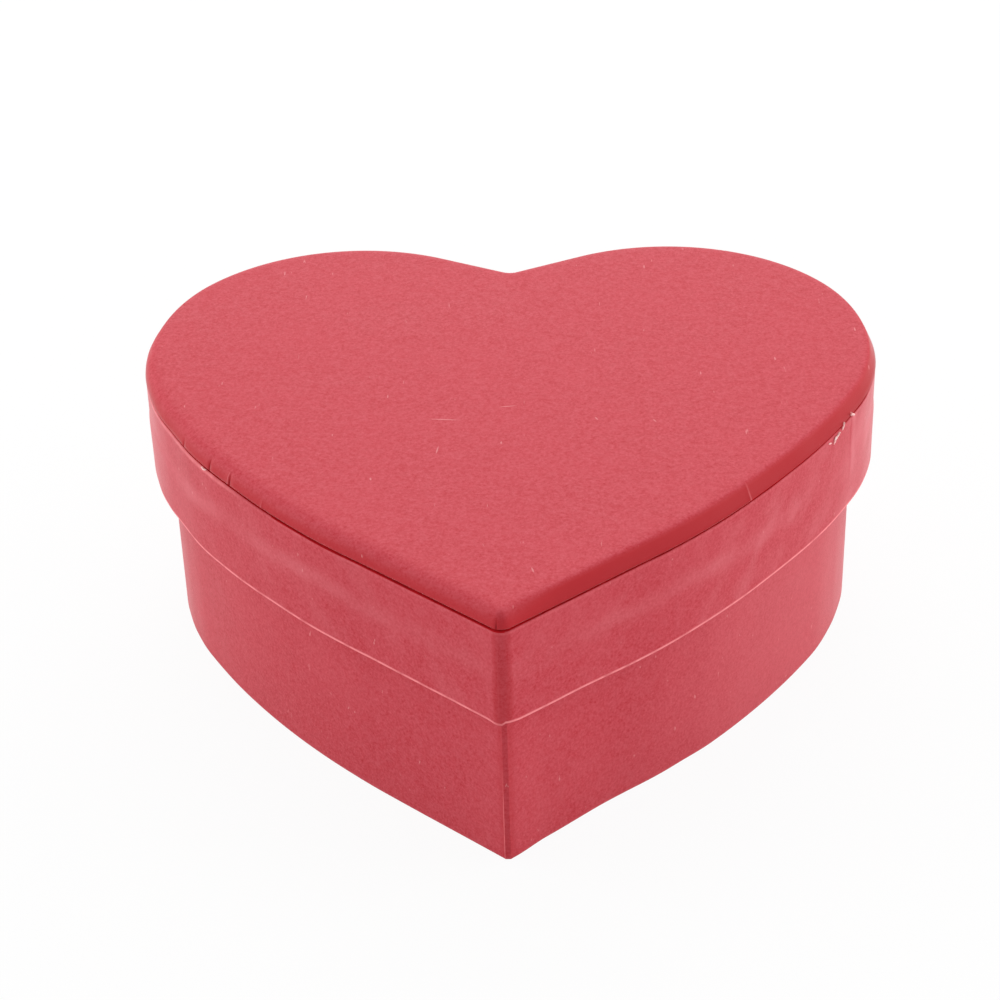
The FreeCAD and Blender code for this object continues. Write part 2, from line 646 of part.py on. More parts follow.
def toothed_wheel(name, teeth, pitch, share, width, bore, slope):
    """A spur wheel about its own Z axis, with the middle of a gap on its X axis."""
    radius = f"({teeth} * {pitch} / 2 / pi)"
    root = f"({radius} - dedendum * {pitch})"
    beyond = f"({radius} + 2 * addendum * {pitch})"
    half_gap = f"({pitch} * (1 - {share}) / 2)"

    body = doc.addObject("PartDesign::Body", name)
    disc = sketch_in(body, name + "_disc")
    circle(disc, f"{radius} + addendum * {pitch}")
    circle(disc, bore)
    pad(body, disc, width)
    gap = sketch_in(body, name + "_gap")
    half_root = f"({half_gap} - ({radius} - {root}) * {slope})"
    half_beyond = f"({half_gap} + ({beyond} - {radius}) * {slope})"
    polygon(gap, [(root, f"-{half_root}"), (beyond, f"-{half_beyond}"),
                  (beyond, half_beyond), (root, half_root)])
    first_gap = pocket(body, gap, Reversed=True)
    polar_pattern(body, first_gap, disc, teeth)
    return body


def wheel(name, teeth, pitch, width, bore):
    """Straight-sided teeth at the pressure angle."""
    return toothed_wheel(name, teeth, pitch, "tooth_share", width, bore,
                         f"tan(pressure_angle + 180 / {teeth})")


def pinion(name, teeth, pitch, width, bore):
    """Few thin leaves with radial sides."""
    return toothed_wheel(name, teeth, pitch, "leaf_share", width, bore,
                         f"((1 - leaf_share) * pi / {teeth})")


def across(gap_angle):
    """Lay a wheel's axis along +X, with one gap at an angle from straight down towards +Y."""
    return ALONG_X * Rotation(Vector(0, 0, 1), gap_angle)


def cylinder_assembly():
    """The pinned cylinder and its arbor, pinion and gear, which turn together."""
    driven = pinion("cylinder_pinion", "pinion_teeth", CROWN_PITCH, "crown_width", "arbor_radius")
    place_in_movement(driven, "crown_radius - crown_width / 2", "0", "axis_height", across(0))
    driving = wheel("cylinder_gear", "drive_teeth", "drive_pitch", "drive_width", "arbor_radius")
    place_in_movement(driving, CYLINDER_END, "0", "axis_height", across(90))
    arbor = cylinder("cylinder_arbor", "crown_radius - crown_width / 2", "0", "axis_height",
                     "arbor_radius",
                     f"{RIGHT_BRACKET} + bracket + arbor_tail - crown_radius + crown_width / 2",
                     ALONG_X)
    return [pinned_cylinder(), driven, driving, arbor]


def pinned_cylinder():
    """A brass cylinder with rows of pins, every pin on the track of one tooth of the comb."""
    body = doc.addObject("PartDesign::Body", "pinned_cylinder")
    barrel = sketch_in(body, "barrel")
    circle(barrel, "cylinder_radius")
    circle(barrel, "arbor_radius")
    pad(body, barrel, CYLINDER_LENGTH)
    notes, beats = int(size("notes")), int(size("beats"))
    for beat in range(beats):
        around = Rotation(Vector(0, 1, 0), 360 * beat / beats)
        row = sketch_in(body, f"pins_{beat}", "XZ_Plane", Placement(Vector(), around))
        for track in sorted({(5 * beat + step) % notes for step in (0, 7 + beat % 3)}):
            middle = f"(cylinder_end + note_pitch * {track + 0.5})"
            foot = "cylinder_radius - embed"
            polygon(row, [(foot, f"{middle} - pin_width / 2"), ("cylinder_radius + pin_height", middle),
                          (foot, f"{middle} + pin_width / 2")])
        pad(body, row, "pin_width", Midplane=True)
    return place_in_movement(body, "cylinder_start", "0", "axis_height", ALONG_X)


def great_wheel():
    """The first wheel: a hub on the winding arbor and a disc with upright crown teeth."""
    inner = "(crown_radius - crown_width / 2)"
    outer = "(crown_radius + crown_width / 2)"
    bore = "(winder_radius + running_gap)"
    hub = "(winder_radius + hub_wall)"
    hub_low, disc_low = "(plate + wheel_lift)", f"({CROWN_ROOT} - wheel_disc)"

    body = doc.addObject("PartDesign::Body", "great_wheel")
    section = sketch_in(body, "great_wheel_section", "XZ_Plane")
    polygon(section, [(bore, hub_low), (hub, hub_low), (hub, disc_low), (outer, disc_low),
                      (outer, CROWN_ROOT), (bore, CROWN_ROOT)])
    turned = body.newObject("PartDesign::Revolution", "great_wheel_turned")
    turned.Profile = section
    turned.ReferenceAxis = (section, ["V_Axis"])
    turned.Angle = 360

    tooth = sketch_in(body, "crown_tooth", "YZ_Plane")
    bind(tooth, "AttachmentOffset.Base.z", inner)
    half_root = f"(({CROWN_PITCH} * crown_share / 2) + dedendum * {CROWN_PITCH} * tan(pressure_angle))"
    half_top = f"(({CROWN_PITCH} * crown_share / 2) - addendum * {CROWN_PITCH} * tan(pressure_angle))"
    polygon(tooth, [(f"-{half_root}", f"{CROWN_ROOT} - embed"), (half_root, f"{CROWN_ROOT} - embed"),
                    (half_top, CROWN_TOP), (f"-{half_top}", CROWN_TOP)])
    first_tooth = pad(body, tooth, "crown_width - crown_edge")
    axis = sketch_in(body, "great_wheel_axis")
    circle(axis, bore)
    polar_pattern(body, first_tooth, axis, "crown_teeth")
    return place_in_movement(body, "0", "0", "0")


def winding_pieces():
    """The arbor from the spring down into the recess, and the butterfly key that screws on it."""
    arbor = cylinder("winding_arbor", "0", "0", "-floor_board - arbor_drop", "winder_radius",
                     "floor_board + arbor_drop + housing_base + housing_height + winder_top")
    return [arbor, winding_key()]


def winding_key():
    """Two flat wings on a collar that screws on the winding arbor."""
    middle = "(-floor_board - key_drop)"
    pieces = [cylinder("key_collar_round", "0", "0", "-floor_board - key_gap - key_length",
                       "key_collar", "key_length"),
              box("key_bridge_sheet", "-key_spread", "-key_sheet / 2", f"{middle} - key_bridge / 2",
                  "2 * key_spread", "key_sheet", "key_bridge")]
    for side in ("-", ""):
        pieces.append(cylinder(f"wing_{side}", f"{side}key_spread", "-key_sheet / 2", middle,
                               "key_wing", "key_sheet", ALONG_Y))
    thread = cylinder("key_thread", "0", "0", "-floor_board - arbor_drop", "winder_radius",
                      "arbor_drop - key_gap")
    return cut("winding_key", join("key_solid", *pieces), thread)


def governor_assembly():
    """The second arbor, with the pinion that the cylinder drives and the wheel that drives the worm."""
    leaf = 360 / size("leaf_teeth")
    leaves = pinion("governor_pinion", "leaf_teeth", "drive_pitch", "drive_width", "thin_radius")
    place_in_movement(leaves, CYLINDER_END, GOVERNOR_Y, "axis_height", across(-90 + leaf / 2))
    worm_wheel = wheel("worm_wheel", "worm_teeth", "worm_pitch", "worm_width", "thin_radius")
    place_in_movement(worm_wheel, WORM_WHEEL, GOVERNOR_Y, "axis_height", across(90))
    arbor = cylinder("governor_arbor", CYLINDER_END, GOVERNOR_Y, "axis_height", "thin_radius",
                     f"{END_BRACKET} + bracket + arbor_tail - {CYLINDER_END}", ALONG_X)
    return [leaves, worm_wheel, arbor]


def fan_assembly():
    """The upright worm shaft and the fan that brakes it."""
    hub = cylinder("fan_hub", WORM_X, WORM_Y, FAN_BASE, "hub_radius", "fan_height + hub_top")
    blades = box("fan_blades", f"{WORM_X} - fan_radius", f"{WORM_Y} - fan_sheet / 2", FAN_BASE,
                 "2 * fan_radius", "fan_sheet", "fan_height")
    bore = cylinder("fan_bore", WORM_X, WORM_Y, FAN_BASE, "thin_radius", "fan_height + hub_top")
    return [worm_shaft(), cut("governor_fan", join("fan_solid", hub, blades), bore)]


def worm_shaft():
    """A steel shaft with a single right-handed thread."""
    body = doc.addObject("PartDesign::Body", "worm_shaft")
    root = "(worm_radius - dedendum * worm_pitch)"
    crest = "(worm_radius + addendum * worm_pitch)"
    half_tooth = "(leaf_share * worm_pitch / 2)"
    half_root = f"({half_tooth} * (addendum + dedendum) / addendum)"
    core_low = "(axis_height - worm_length / 2)"
    core_high = "(axis_height + worm_length / 2)"
    shaft_low, shaft_high = "(plate + shaft_lift)", f"({FAN_BASE} + fan_height + hub_top + shaft_end)"

    section = sketch_in(body, "shaft_section", "XZ_Plane")
    polygon(section, [("0", shaft_low), ("thin_radius", shaft_low), ("thin_radius", core_low),
                      (root, core_low), (root, core_high), ("thin_radius", core_high),
                      ("thin_radius", shaft_high), ("0", shaft_high)])
    turned = body.newObject("PartDesign::Revolution", "shaft_turned")
    turned.Profile = section
    turned.ReferenceAxis = (section, ["V_Axis"])
    turned.Angle = 360
    thread = sketch_in(body, "worm_thread", "XZ_Plane")
    # after three quarters of a turn the thread faces the worm wheel, level with its axis
    low = "(axis_height - 0.75 * worm_pitch)"
    polygon(thread, [(f"{root} - embed", f"{low} - {half_root}"), (crest, low),
                     (f"{root} - embed", f"{low} + {half_root}")])
    helix = body.newObject("PartDesign::AdditiveHelix", "worm_helix")
    helix.Profile = thread
    helix.ReferenceAxis = (thread, ["V_Axis"])
    helix.Mode = "pitch-height-angle"
    bind(helix, "Pitch", "worm_pitch")
    bind(helix, "Height", "worm_turns * worm_pitch")
    body.Tip = helix
    return place_in_movement(body, WORM_X, WORM_Y, "0")


# ---------------------------------------------------------------------------------------- the parts

parts = [
    *tray(),
    *lid(),
    bedplate(),
    comb(),
    *bearing_brackets(),
    spring_housing(),
    mainspring(),
    governor_frame(),
    mounting_screws(),
    *cylinder_assembly(),
    great_wheel(),
    *winding_pieces(),
    *governor_assembly(),
    *fan_assembly(),
]
doc.recompute()

failed = [item.Label for item in doc.Objects if {"Invalid", "Error"} & set(item.State)]
failed += [part.Label for part in parts if part.Shape.isNull() or not part.Shape.isValid()]
if failed:
    raise RuntimeError(f"these pieces can't be built: {failed}")

os.makedirs("parts", exist_ok=True)
for part in parts:
    part.Shape.exportStep(f"parts/{part.Label}.step")
print(f"{len(parts)} pieces, {sum(len(part.Shape.Solids) for part in parts)} solids")
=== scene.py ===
import json
import math
import random
from collections import namedtuple

import bmesh
import bpy
from mathutils import Matrix, Vector, noise

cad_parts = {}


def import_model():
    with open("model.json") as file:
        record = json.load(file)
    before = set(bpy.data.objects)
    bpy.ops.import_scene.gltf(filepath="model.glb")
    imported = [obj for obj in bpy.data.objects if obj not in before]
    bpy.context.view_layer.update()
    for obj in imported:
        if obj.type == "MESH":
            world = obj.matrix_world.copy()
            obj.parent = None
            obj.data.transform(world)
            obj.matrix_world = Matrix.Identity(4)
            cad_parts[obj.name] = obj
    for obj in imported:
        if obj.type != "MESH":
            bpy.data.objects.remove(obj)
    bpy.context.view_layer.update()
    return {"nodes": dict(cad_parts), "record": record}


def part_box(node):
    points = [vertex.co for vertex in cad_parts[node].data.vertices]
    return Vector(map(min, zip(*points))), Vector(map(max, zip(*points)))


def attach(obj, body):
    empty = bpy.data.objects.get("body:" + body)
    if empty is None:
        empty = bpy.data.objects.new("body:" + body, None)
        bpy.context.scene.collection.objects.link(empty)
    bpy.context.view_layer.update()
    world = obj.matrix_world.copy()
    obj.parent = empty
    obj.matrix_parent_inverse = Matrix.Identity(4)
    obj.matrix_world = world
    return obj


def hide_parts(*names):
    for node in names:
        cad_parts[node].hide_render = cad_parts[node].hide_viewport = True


# The looks of a heart-shaped paper-covered music box. Lengths are in metres, in the frame of the
# CAD model: +Z is up, the heart's point is towards -Y, and the movement's cylinder lies along +X.

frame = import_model()
MM = 0.001

# -------- sizes

# the heart outline, as the lid's rim has it; its width and length come from the CAD box
LOBE_RADIUS = 32.5 * MM
TIP_RADIUS = 2.4 * MM
CLEFT_RADIUS = 1.2 * MM
CLEFT_DEPTH = 8.4 * MM
SIDE_RADIUS = 134.0 * MM
FLANK_LEAN = math.radians(6.7)

PAPER = 0.15 * MM  # thickness of the covering and lining papers
STATION_STEP = 0.9 * MM  # distance between the stations along the outline
POINT_STEP = 0.3 * MM  # the same near the point
POINT_REACH = 3.6 * MM  # how far from the point the stations are closer
ROW_STEP = 0.7 * MM  # distance between the rows up a wall
TURN_IN = 9.0 * MM  # covering paper that is folded over an edge and glued inside
EDGE_ROUND = 0.2 * MM  # rounding of a folded paper edge
EDGE_BEVEL = 0.3 * EDGE_ROUND  # how far the middle of the rounding stands in from the corner
WEAR_LINE = 0.16 * MM  # width of the worn line along an edge
END_WEAR = 0.3  # share of the worn line's wear on the end face beside it
RECESS_TURN_IN = 0.6  # share of the turned-in paper that shows in the recess

RIM_LOW, RIM_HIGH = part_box("lid_rim")
PANEL_LOW, PANEL_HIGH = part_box("lid_top")
WALL_LOW, WALL_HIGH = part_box("tray_wall")
FLOOR_LOW, FLOOR_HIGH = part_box("tray_floor")

WALL_OUTER = RIM_HIGH.x - WALL_HIGH.x  # insets from the lid's outline
WALL_INNER = RIM_HIGH.x - FLOOR_HIGH.x
PANEL_INSET = RIM_HIGH.x - PANEL_HIGH.x
RIM_INNER = 1.75 * MM

# -------- the heart outline


def polar(angle):
    return Vector((math.cos(angle), math.sin(angle)))


PIECES = range(6)
ROUND_TIP, FLANK, SIDE, LOBE, FALL, CLEFT = PIECES


class Heart:
    """The right half of the outline as six pieces, from the round point to the cleft's fillet."""

    lobe = Vector((RIM_HIGH.x - LOBE_RADIUS, RIM_HIGH.y - LOBE_RADIUS))
    tip = Vector((0.0, RIM_LOW.y + TIP_RADIUS))
    reach = lobe - tip
    slope = reach.angle_signed(Vector((1, 0)))
    slope -= math.asin((LOBE_RADIUS - TIP_RADIUS) / reach.length)
    slope -= FLANK_LEAN
    along = polar(slope)
    outward = polar(slope - math.pi / 2)
    flank_start = tip + outward * TIP_RADIUS
    to_side = flank_start - outward * SIDE_RADIUS - lobe
    advance = to_side.dot(along)
    spare = advance ** 2 - to_side.length_squared + (SIDE_RADIUS - LOBE_RADIUS) ** 2
    flank_length = -advance - math.sqrt(spare)
    flank_end = flank_start + along * flank_length
    side = flank_end - outward * SIDE_RADIUS
    lobe_from = math.atan2(lobe.y - side.y, lobe.x - side.x)
    rise = LOBE_RADIUS + CLEFT_RADIUS - CLEFT_DEPTH
    cleft = lobe + Vector((-lobe.x, rise))
    dip = math.asin((LOBE_RADIUS + CLEFT_RADIUS) / math.hypot(lobe.x, rise))
    dip -= math.atan2(rise, lobe.x)
    lobe_to = math.pi / 2 + dip
    above = polar(lobe_to)
    lobe_end = lobe + above * LOBE_RADIUS
    cleft_start = cleft - above * CLEFT_RADIUS
    # each arc's centre, radius, first angle and turn; the cleft's arc is hollow
    arcs = {ROUND_TIP: (tip, TIP_RADIUS, -math.pi / 2, slope),
            SIDE: (side, SIDE_RADIUS, slope - math.pi / 2, lobe_from - slope + math.pi / 2),
            LOBE: (lobe, LOBE_RADIUS, lobe_from, lobe_to - lobe_from),
            CLEFT: (cleft, -CLEFT_RADIUS, lobe_to, -dip)}
    lengths = {piece: radius * turn for piece, (_, radius, _, turn) in arcs.items()}
    lengths[FLANK] = flank_length
    lengths[FALL] = (cleft_start - lobe_end).length
    half = sum(map(lengths.get, PIECES))

    @classmethod
    def point(cls, distance, inset):
        """The place and outward normal at a distance, drawn in by inset."""
        piece = ROUND_TIP
        while piece < CLEFT and distance > cls.lengths[piece]:
            distance -= cls.lengths[piece]
            piece += 1
        share = min(1.0, distance / cls.lengths[piece])
        if piece == FLANK:
            start = cls.flank_start - cls.outward * inset
            if inset > TIP_RADIUS:
                start = cls.inner_tip(inset)
            return start.lerp(cls.flank_end - cls.outward * inset, share), cls.outward
        if piece == FALL:
            return cls.lobe_end.lerp(cls.cleft_start, share) - cls.above * inset, cls.above
        centre, radius, first, turn = cls.arcs[piece]
        normal = polar(first + turn * share)
        if piece == ROUND_TIP and inset > TIP_RADIUS:
            return cls.inner_tip(inset), normal
        return centre + normal * (radius - inset), normal

    @classmethod
    def inner_tip(cls, inset):
        """Where the flanks meet when drawn in by more than the point's radius."""
        return Vector((0.0, cls.tip.y + (inset - TIP_RADIUS) / math.cos(cls.slope)))


# -------- how the hand-made walls depart


def smooth_step(value):
    share = min(1.0, max(0.0, value))
    return share * share * (3 - 2 * share)


def rising(value, start, width):
    """From 0 at the start to 1 a width further on."""
    return smooth_step((value - start) / width)


def falling(value, end, width):
    """From 1, a width before the end, to 0 at the end."""
    return smooth_step((end - value) / width)


def between(pairs, distance):
    """A smooth value at a distance from the point, from pairs in millimetres."""
    for (start, first), (end, last) in zip(pairs, pairs[1:]):
        if distance <= end * MM:
            share = rising(distance / MM, start, end - start)
            return MM * (first + (last - first) * share)
    return MM * pairs[-1][1]


def wave(point, size, seed):
    """Smooth noise from -1 to 1 with features of a given size."""
    return noise.noise(Vector(point) / size + Vector((seed, seed * 0.7, seed * 1.3)))


def swell(point, size, seed):
    """The same from 0 to 1."""
    return 0.5 + 0.5 * wave(point, size, seed)


SLOW_WAVE, SLOW_DEPTH = 38 * MM, 0.1 * MM  # the slow unevenness of every wall
COARSE_WAVE, COARSE_SHARE = 9 * MM, 0.7  # the waviness of the covering paper
FINE_WAVE, FINE_SHARE = 3.2 * MM, 0.3


class Shell:
    """How the lid or the tray departs from the even outline.

    Left and right are pairs of a distance from the point and how far the wall is drawn in there.
    The paper has a crease at a distance from the point, and lies flat across it."""

    def __init__(self, left, right, crease, outer):
        self.pairs = {-1: left, 1: right}
        self.crease = crease
        self.flat = Heart.point(crease, outer)[0].y - outer

    def drawn_in(self, side, distance, z, waviness):
        """How far the wall is drawn in at a station and height."""
        outer = Heart.point(distance, 0.0)[0]
        x, y = side * outer.x, outer.y
        pull = between(self.pairs[side], distance) + SLOW_DEPTH * swell((x, y, 0), SLOW_WAVE, 3.1)
        if waviness:
            coarse = COARSE_SHARE * swell((x, y, z * 0.5), COARSE_WAVE, 1.7)
            fine = FINE_SHARE * swell((x, y, z * 0.5), FINE_WAVE, 5.3)
            pull += waviness * (coarse + fine)
        return pull

    def placed(self, side, distance, inset, pull, z):
        """The vertex at a station, for a row at an inset of a wall that is drawn in by pull."""
        place = Heart.point(distance, inset + pull)[0]
        return Vector((side * place.x, max(place.y, self.flat + inset), z))


LID = Shell(left=[(0, 0.1), (24, 0.2), (38, 0), (50, -0.1), (64, -0.4), (74, 0), (86, 0.6),
                  (100, 0.6), (118, 0.1), (150, 0)],
            right=[(0, 0.1), (20, 0.1), (36, 0), (54, 0.15), (70, 0), (88, 0.3), (100, 0.3),
                   (115, 0), (150, 0)],
            crease=0.7 * MM, outer=0.0)
TRAY = Shell(left=[(0, 0), (24, -0.1), (34, 0), (60, 0), (72, 0.1), (86, 1.0), (100, 1.0),
                   (120, 0.4), (150, 0.1)],
             right=[(0, 0), (3, 0.05), (9, 0.5), (20, 0.8), (34, 0.4), (42, 0.1), (70, 0.05),
                    (86, 1.2), (100, 1.2), (120, 0.4), (150, 0.1)],
             crease=2.3 * MM, outer=WALL_OUTER)
CREASE_WIDTH = 0.12 * MM

# small folds in the panel's edge: side, distance from the point, share of the edge's height, and
# depth, which is less than nothing for a worn ridge; lengths in millimetres
FOLDS = [(-1, 67.5, 0.3, 0.2), (-1, 59.5, 0.55, 0.32), (-1, 54.2, 0.5, 0.32), (-1, 54.6, 0.7, -0.1),
         (-1, 46.2, 0.3, -0.15), (-1, 0.8, 0.4, 0.15), (1, 47.0, 0.7, -0.08)]
FOLD_WIDTH = 0.22 * MM
LAP = 75.4 * MM  # where the rim's covering paper ends on itself, on the right
LAP_WIDTH = 0.25 * MM
MARK_ROOM = 1.3  # how near a mark's own stations the even ones stay, in its widths
CLEFT_STEPS = 3  # stations round half of the cleft's fillet


def station_places(side):
    """The distances from the point of the stations on one side, in order."""
    near = round(POINT_REACH / POINT_STEP)
    far = round((Heart.half - POINT_REACH) / STATION_STEP)
    found = [POINT_REACH * turn / near for turn in range(near)]
    found += [POINT_REACH + (Heart.half - POINT_REACH) * turn / far for turn in range(far + 1)]
    found += [Heart.half - Heart.lengths[CLEFT] * turn / CLEFT_STEPS
              for turn in range(1, CLEFT_STEPS + 1)]
    marks = [(fold[1] * MM, FOLD_WIDTH, (-1, -0.4, 0, 0.4, 1)) for fold in FOLDS if fold[0] == side]
    marks.append((LAP, LAP_WIDTH, (-1, 0, 1)))
    marks += [(shell.crease, CREASE_WIDTH, (-1, 0, 1)) for shell in (LID, TRAY)]
    for middle, width, shares in marks:
        found = [place for place in found if abs(place - middle) > MARK_ROOM * width]
        found += [middle + width * share for share in shares]
    return sorted(found)


# side and distance from the point of every station round the outline, counterclockwise
STATIONS = [(1, distance) for distance in station_places(1)]
STATIONS += [(-1, distance) for distance in reversed(station_places(-1)[1:-1])]

# -------- mesh tools

CAP_CORNERS = 30  # a face with as many corners is a flat cap
MERGE_ROOM = 0.001 * MM  # vertices of a skin that are as near are one


def add(name, data):
    """A new object in the scene."""
    piece = bpy.data.objects.new(name, data)
    bpy.context.scene.collection.objects.link(piece)
    return piece


def finish_mesh(name, bm, material, smooth=True, sharp=180):
    """A mesh object from a bmesh, sharp at edges that are steeper than an angle."""
    bmesh.ops.recalc_face_normals(bm, faces=bm.faces)
    bm.normal_update()
    for edge in bm.edges:
        if len(edge.link_faces) == 2 and edge.calc_face_angle() > math.radians(sharp):
            edge.smooth = False
    mesh = bpy.data.meshes.new(name)
    bm.to_mesh(mesh)
    bm.free()
    for polygon in mesh.polygons:
        polygon.use_smooth = smooth and len(polygon.vertices) < CAP_CORNERS
    mesh.materials.append(material)
    return add(name, mesh)


def skin(bm, low, high):
    """Faces between two closed rows of vertices, or a row and one point."""
    for turn in range(len(low)):
        after = (turn + 1) % len(low)
        corners = dict.fromkeys((low[turn], low[after], high[after], high[turn]))
        bm.faces.new(tuple(corners))


def loft(bm, rows):
    """A skin over closed rows of vertices, with a flat face at each end."""
    for low, high in zip(rows, rows[1:]):
        skin(bm, low, high)
    bm.faces.new(rows[0][::-1])
    bm.faces.new(rows[-1])


# the marks are real wear, painted shade, and paleness that is mostly painted sheen
MARKS = ("wear", "painted_shade", "painted_sheen_and_paleness")  # how the paper is marked at a vertex, for its material
Row = namedtuple("Row", "inset z waviness wear", defaults=(0.0, 0.0))


def sweep(name, shell, profile, material, closed=True, relief=None, sharp=180):
    """A skin round the heart from profile rows.

    A closed profile makes a hollow band. An open one is closed by a flat face at each end. Relief
    gives the extra pull, lift and marks at a station, for a place in a numbered row."""
    bm = bmesh.new()
    layers = {mark: bm.verts.layers.float.new(mark) for mark in MARKS}
    rows = []
    for number, (inset, z, waviness, wear) in enumerate(profile):
        row = []
        for side, distance in STATIONS:
            pull = shell.drawn_in(side, distance, z, waviness)
            spot = shell.placed(side, distance, inset, pull, z)
            marks = {}
            if relief:
                more, lift, marks = relief(side, distance, spot, number, inset)
                spot = shell.placed(side, distance, inset + more, pull, z + lift)
            marks["wear"] = max(wear, marks.get("wear", 0.0))
            vertex = bm.verts.new(spot)
            for mark, amount in marks.items():
                vertex[layers[mark]] = amount
            row.append(vertex)
        rows.append(row)
    if closed:
        for low, high in zip(rows, rows[1:] + rows[:1]):
            skin(bm, low, high)
    else:
        loft(bm, rows)
    bmesh.ops.remove_doubles(bm, verts=bm.verts, dist=MERGE_ROOM)
    return finish_mesh(name, bm, material, sharp=sharp)


def wall_rows(inset, low, high, waviness):
    """Rows up one face of a wall, without its ends."""
    count = max(1, round((high - low) / ROW_STEP))
    return [Row(inset, low + (high - low) * turn / count, waviness) for turn in range(count + 1)]


UP, DOWN = Vector((0, 0, 1)), Vector((0, 0, -1))


def standing(base, axis):
    """The matrix that stands a shape on a base, upright along an axis."""
    return Matrix.Translation(base) @ UP.rotation_difference(axis).to_matrix().to_4x4()


def round_row(bm, matrix, radius, height, segments):
    """A round row of vertices, or one point as often where the radius is nothing."""
    if radius == 0:
        return [bm.verts.new(matrix @ Vector((0, 0, height)))] * segments
    row = []
    for turn in range(segments):
        angle = 2 * math.pi * turn / segments
        spot = Vector((radius * math.cos(angle), radius * math.sin(angle), height))
        row.append(bm.verts.new(matrix @ spot))
    return row


def lathe(bm, profile, base, axis, segments=32):
    """Turn a profile of (radius, distance from the base) round an axis, into bm."""
    matrix = standing(base, axis)
    rows = [round_row(bm, matrix, radius, height, segments) for radius, height in profile]
    for low, high in zip(rows, rows[1:]):
        skin(bm, low, high)


# -------- material tools


class Tree:
    """A material's node tree, with the shader ready."""

    def __init__(self, name):
        self.material = bpy.data.materials.new(name)
        self.material.use_nodes = True
        self.nodes = self.material.node_tree.nodes
        self.links = self.material.node_tree.links
        self.shader = self.nodes["Principled BSDF"]
        coordinates = self.nodes.new("ShaderNodeTexCoord")
        self.place = coordinates.outputs["Object"]
        self.normal = coordinates.outputs["Normal"]

    def set(self, **values):
        for socket, value in values.items():
            self.shader.inputs[socket.replace("_", " ")].default_value = value

    def node(self, kind, inputs, **settings):
        """A new node with settings, and values or links at its inputs."""
        made = self.nodes.new(kind)
        for key, value in settings.items():
            setattr(made, key, value)
        for socket, value in inputs.items():
            if isinstance(value, bpy.types.NodeSocket):
                self.links.new(value, made.inputs[socket])
            else:
                made.inputs[socket].default_value = value
        return made

    def noise(self, size, detail=3.0, roughness=0.5, stretch=(1, 1, 1), turn=(0, 0, 0)):
        """Noise with features of a given size in metres, in the frame turned and scaled."""
        inputs = {"Vector": self.place, "Scale": stretch, "Rotation": turn}
        vector = self.node("ShaderNodeMapping", inputs).outputs["Vector"]
        inputs = {"Vector": vector, "Scale": 1 / size, "Detail": detail, "Roughness": roughness}
        return self.node("ShaderNodeTexNoise", inputs).outputs["Fac"]

    def span(self, value, low, high, to_low=0.0, to_high=1.0):
        """A value mapped from one range to another, and kept in it."""
        inputs = {"Value": value, "From Min": low, "From Max": high, "To Min": to_low,
                  "To Max": to_high}
        return self.node("ShaderNodeMapRange", inputs).outputs["Result"]

    def math(self, operation, first, second):
        return self.node("ShaderNodeMath", {0: first, 1: second}, operation=operation).outputs[0]

    def mix(self, share, first, second):
        made = self.node("ShaderNodeMix", {0: share, 6: first, 7: second}, data_type="RGBA")
        return made.outputs[2]

    def attribute(self, name):
        return self.node("ShaderNodeAttribute", {}, attribute_name=name).outputs["Fac"]

    def bump(self, height, distance, strength=1.0, after=None):
        inputs = {"Height": height, "Distance": distance, "Strength": strength}
        if after is not None:
            inputs["Normal"] = after
        return self.node("ShaderNodeBump", inputs).outputs["Normal"]

    def blend(self, output, share, first, second):
        """Show one node's shader at an output, and by a share another's."""
        shaders = {0: share, 1: first.outputs[0], 2: second.outputs[0]}
        mixed = self.node("ShaderNodeMixShader", shaders)
        self.links.new(mixed.outputs[0], self.nodes[output].inputs["Surface"])

    def finish(self, colour, roughness, normal):
        for socket, value in (("Base Color", colour), ("Roughness", roughness), ("Normal", normal)):
            self.links.new(value, self.shader.inputs[socket])
        return self.material

    def grained(self, colour, grain, rough, depth, strength=1.0, spread=(0.2, 0.8)):
        """Finish with a roughness in a range and a bump, which both follow the grain."""
        roughness = self.span(grain, *spread, *rough)
        return self.finish(colour, roughness, self.bump(grain, depth, strength))


def srgb(red, green, blue):
    """A colour in 0 to 255 steps of the screen, as the shader's linear one."""
    shares = (red / 255, green / 255, blue / 255)
    return (*(share / 12.92 if share < 0.04 else ((share + 0.055) / 1.055) ** 2.4
              for share in shares), 1.0)


# -------- the materials

LINING_DARK, LINING_LIGHT = srgb(222, 217, 206), srgb(238, 235, 227)


def scratch_share(tree, x, y, turn, length, width):
    """Where a short scratch lies: its middle, direction and size in millimetres."""
    inputs = {"Vector": tree.place, "Location": (x * MM, y * MM, 0),
              "Rotation": (0, 0, math.radians(turn)),
              "Scale": (0.5 * length * MM, 0.5 * width * MM, 1.0)}
    local = tree.node("ShaderNodeMapping", inputs, vector_type="TEXTURE").outputs["Vector"]
    away = tree.node("ShaderNodeVectorMath", {0: local}, operation="LENGTH").outputs["Value"]
    return tree.span(away, 0.5, 1.0, 1.0, 0.0)


def pale_fibres(tree, scratches):
    """Where the paper's few pale fibres and its scratches lie."""
    fibres = tree.noise(0.4 * MM, 1, 0.4, stretch=(1, 0.14, 0.3), turn=(0.3, 0.2, 0.9))
    specks = tree.noise(3.0 * MM, 1, 0.4)
    seen = tree.math("MULTIPLY", tree.span(fibres, 0.72, 0.78), tree.span(specks, 0.6, 0.66))
    for scratch in scratches:
        seen = tree.math("MAXIMUM", seen, scratch_share(tree, *scratch))
    return seen


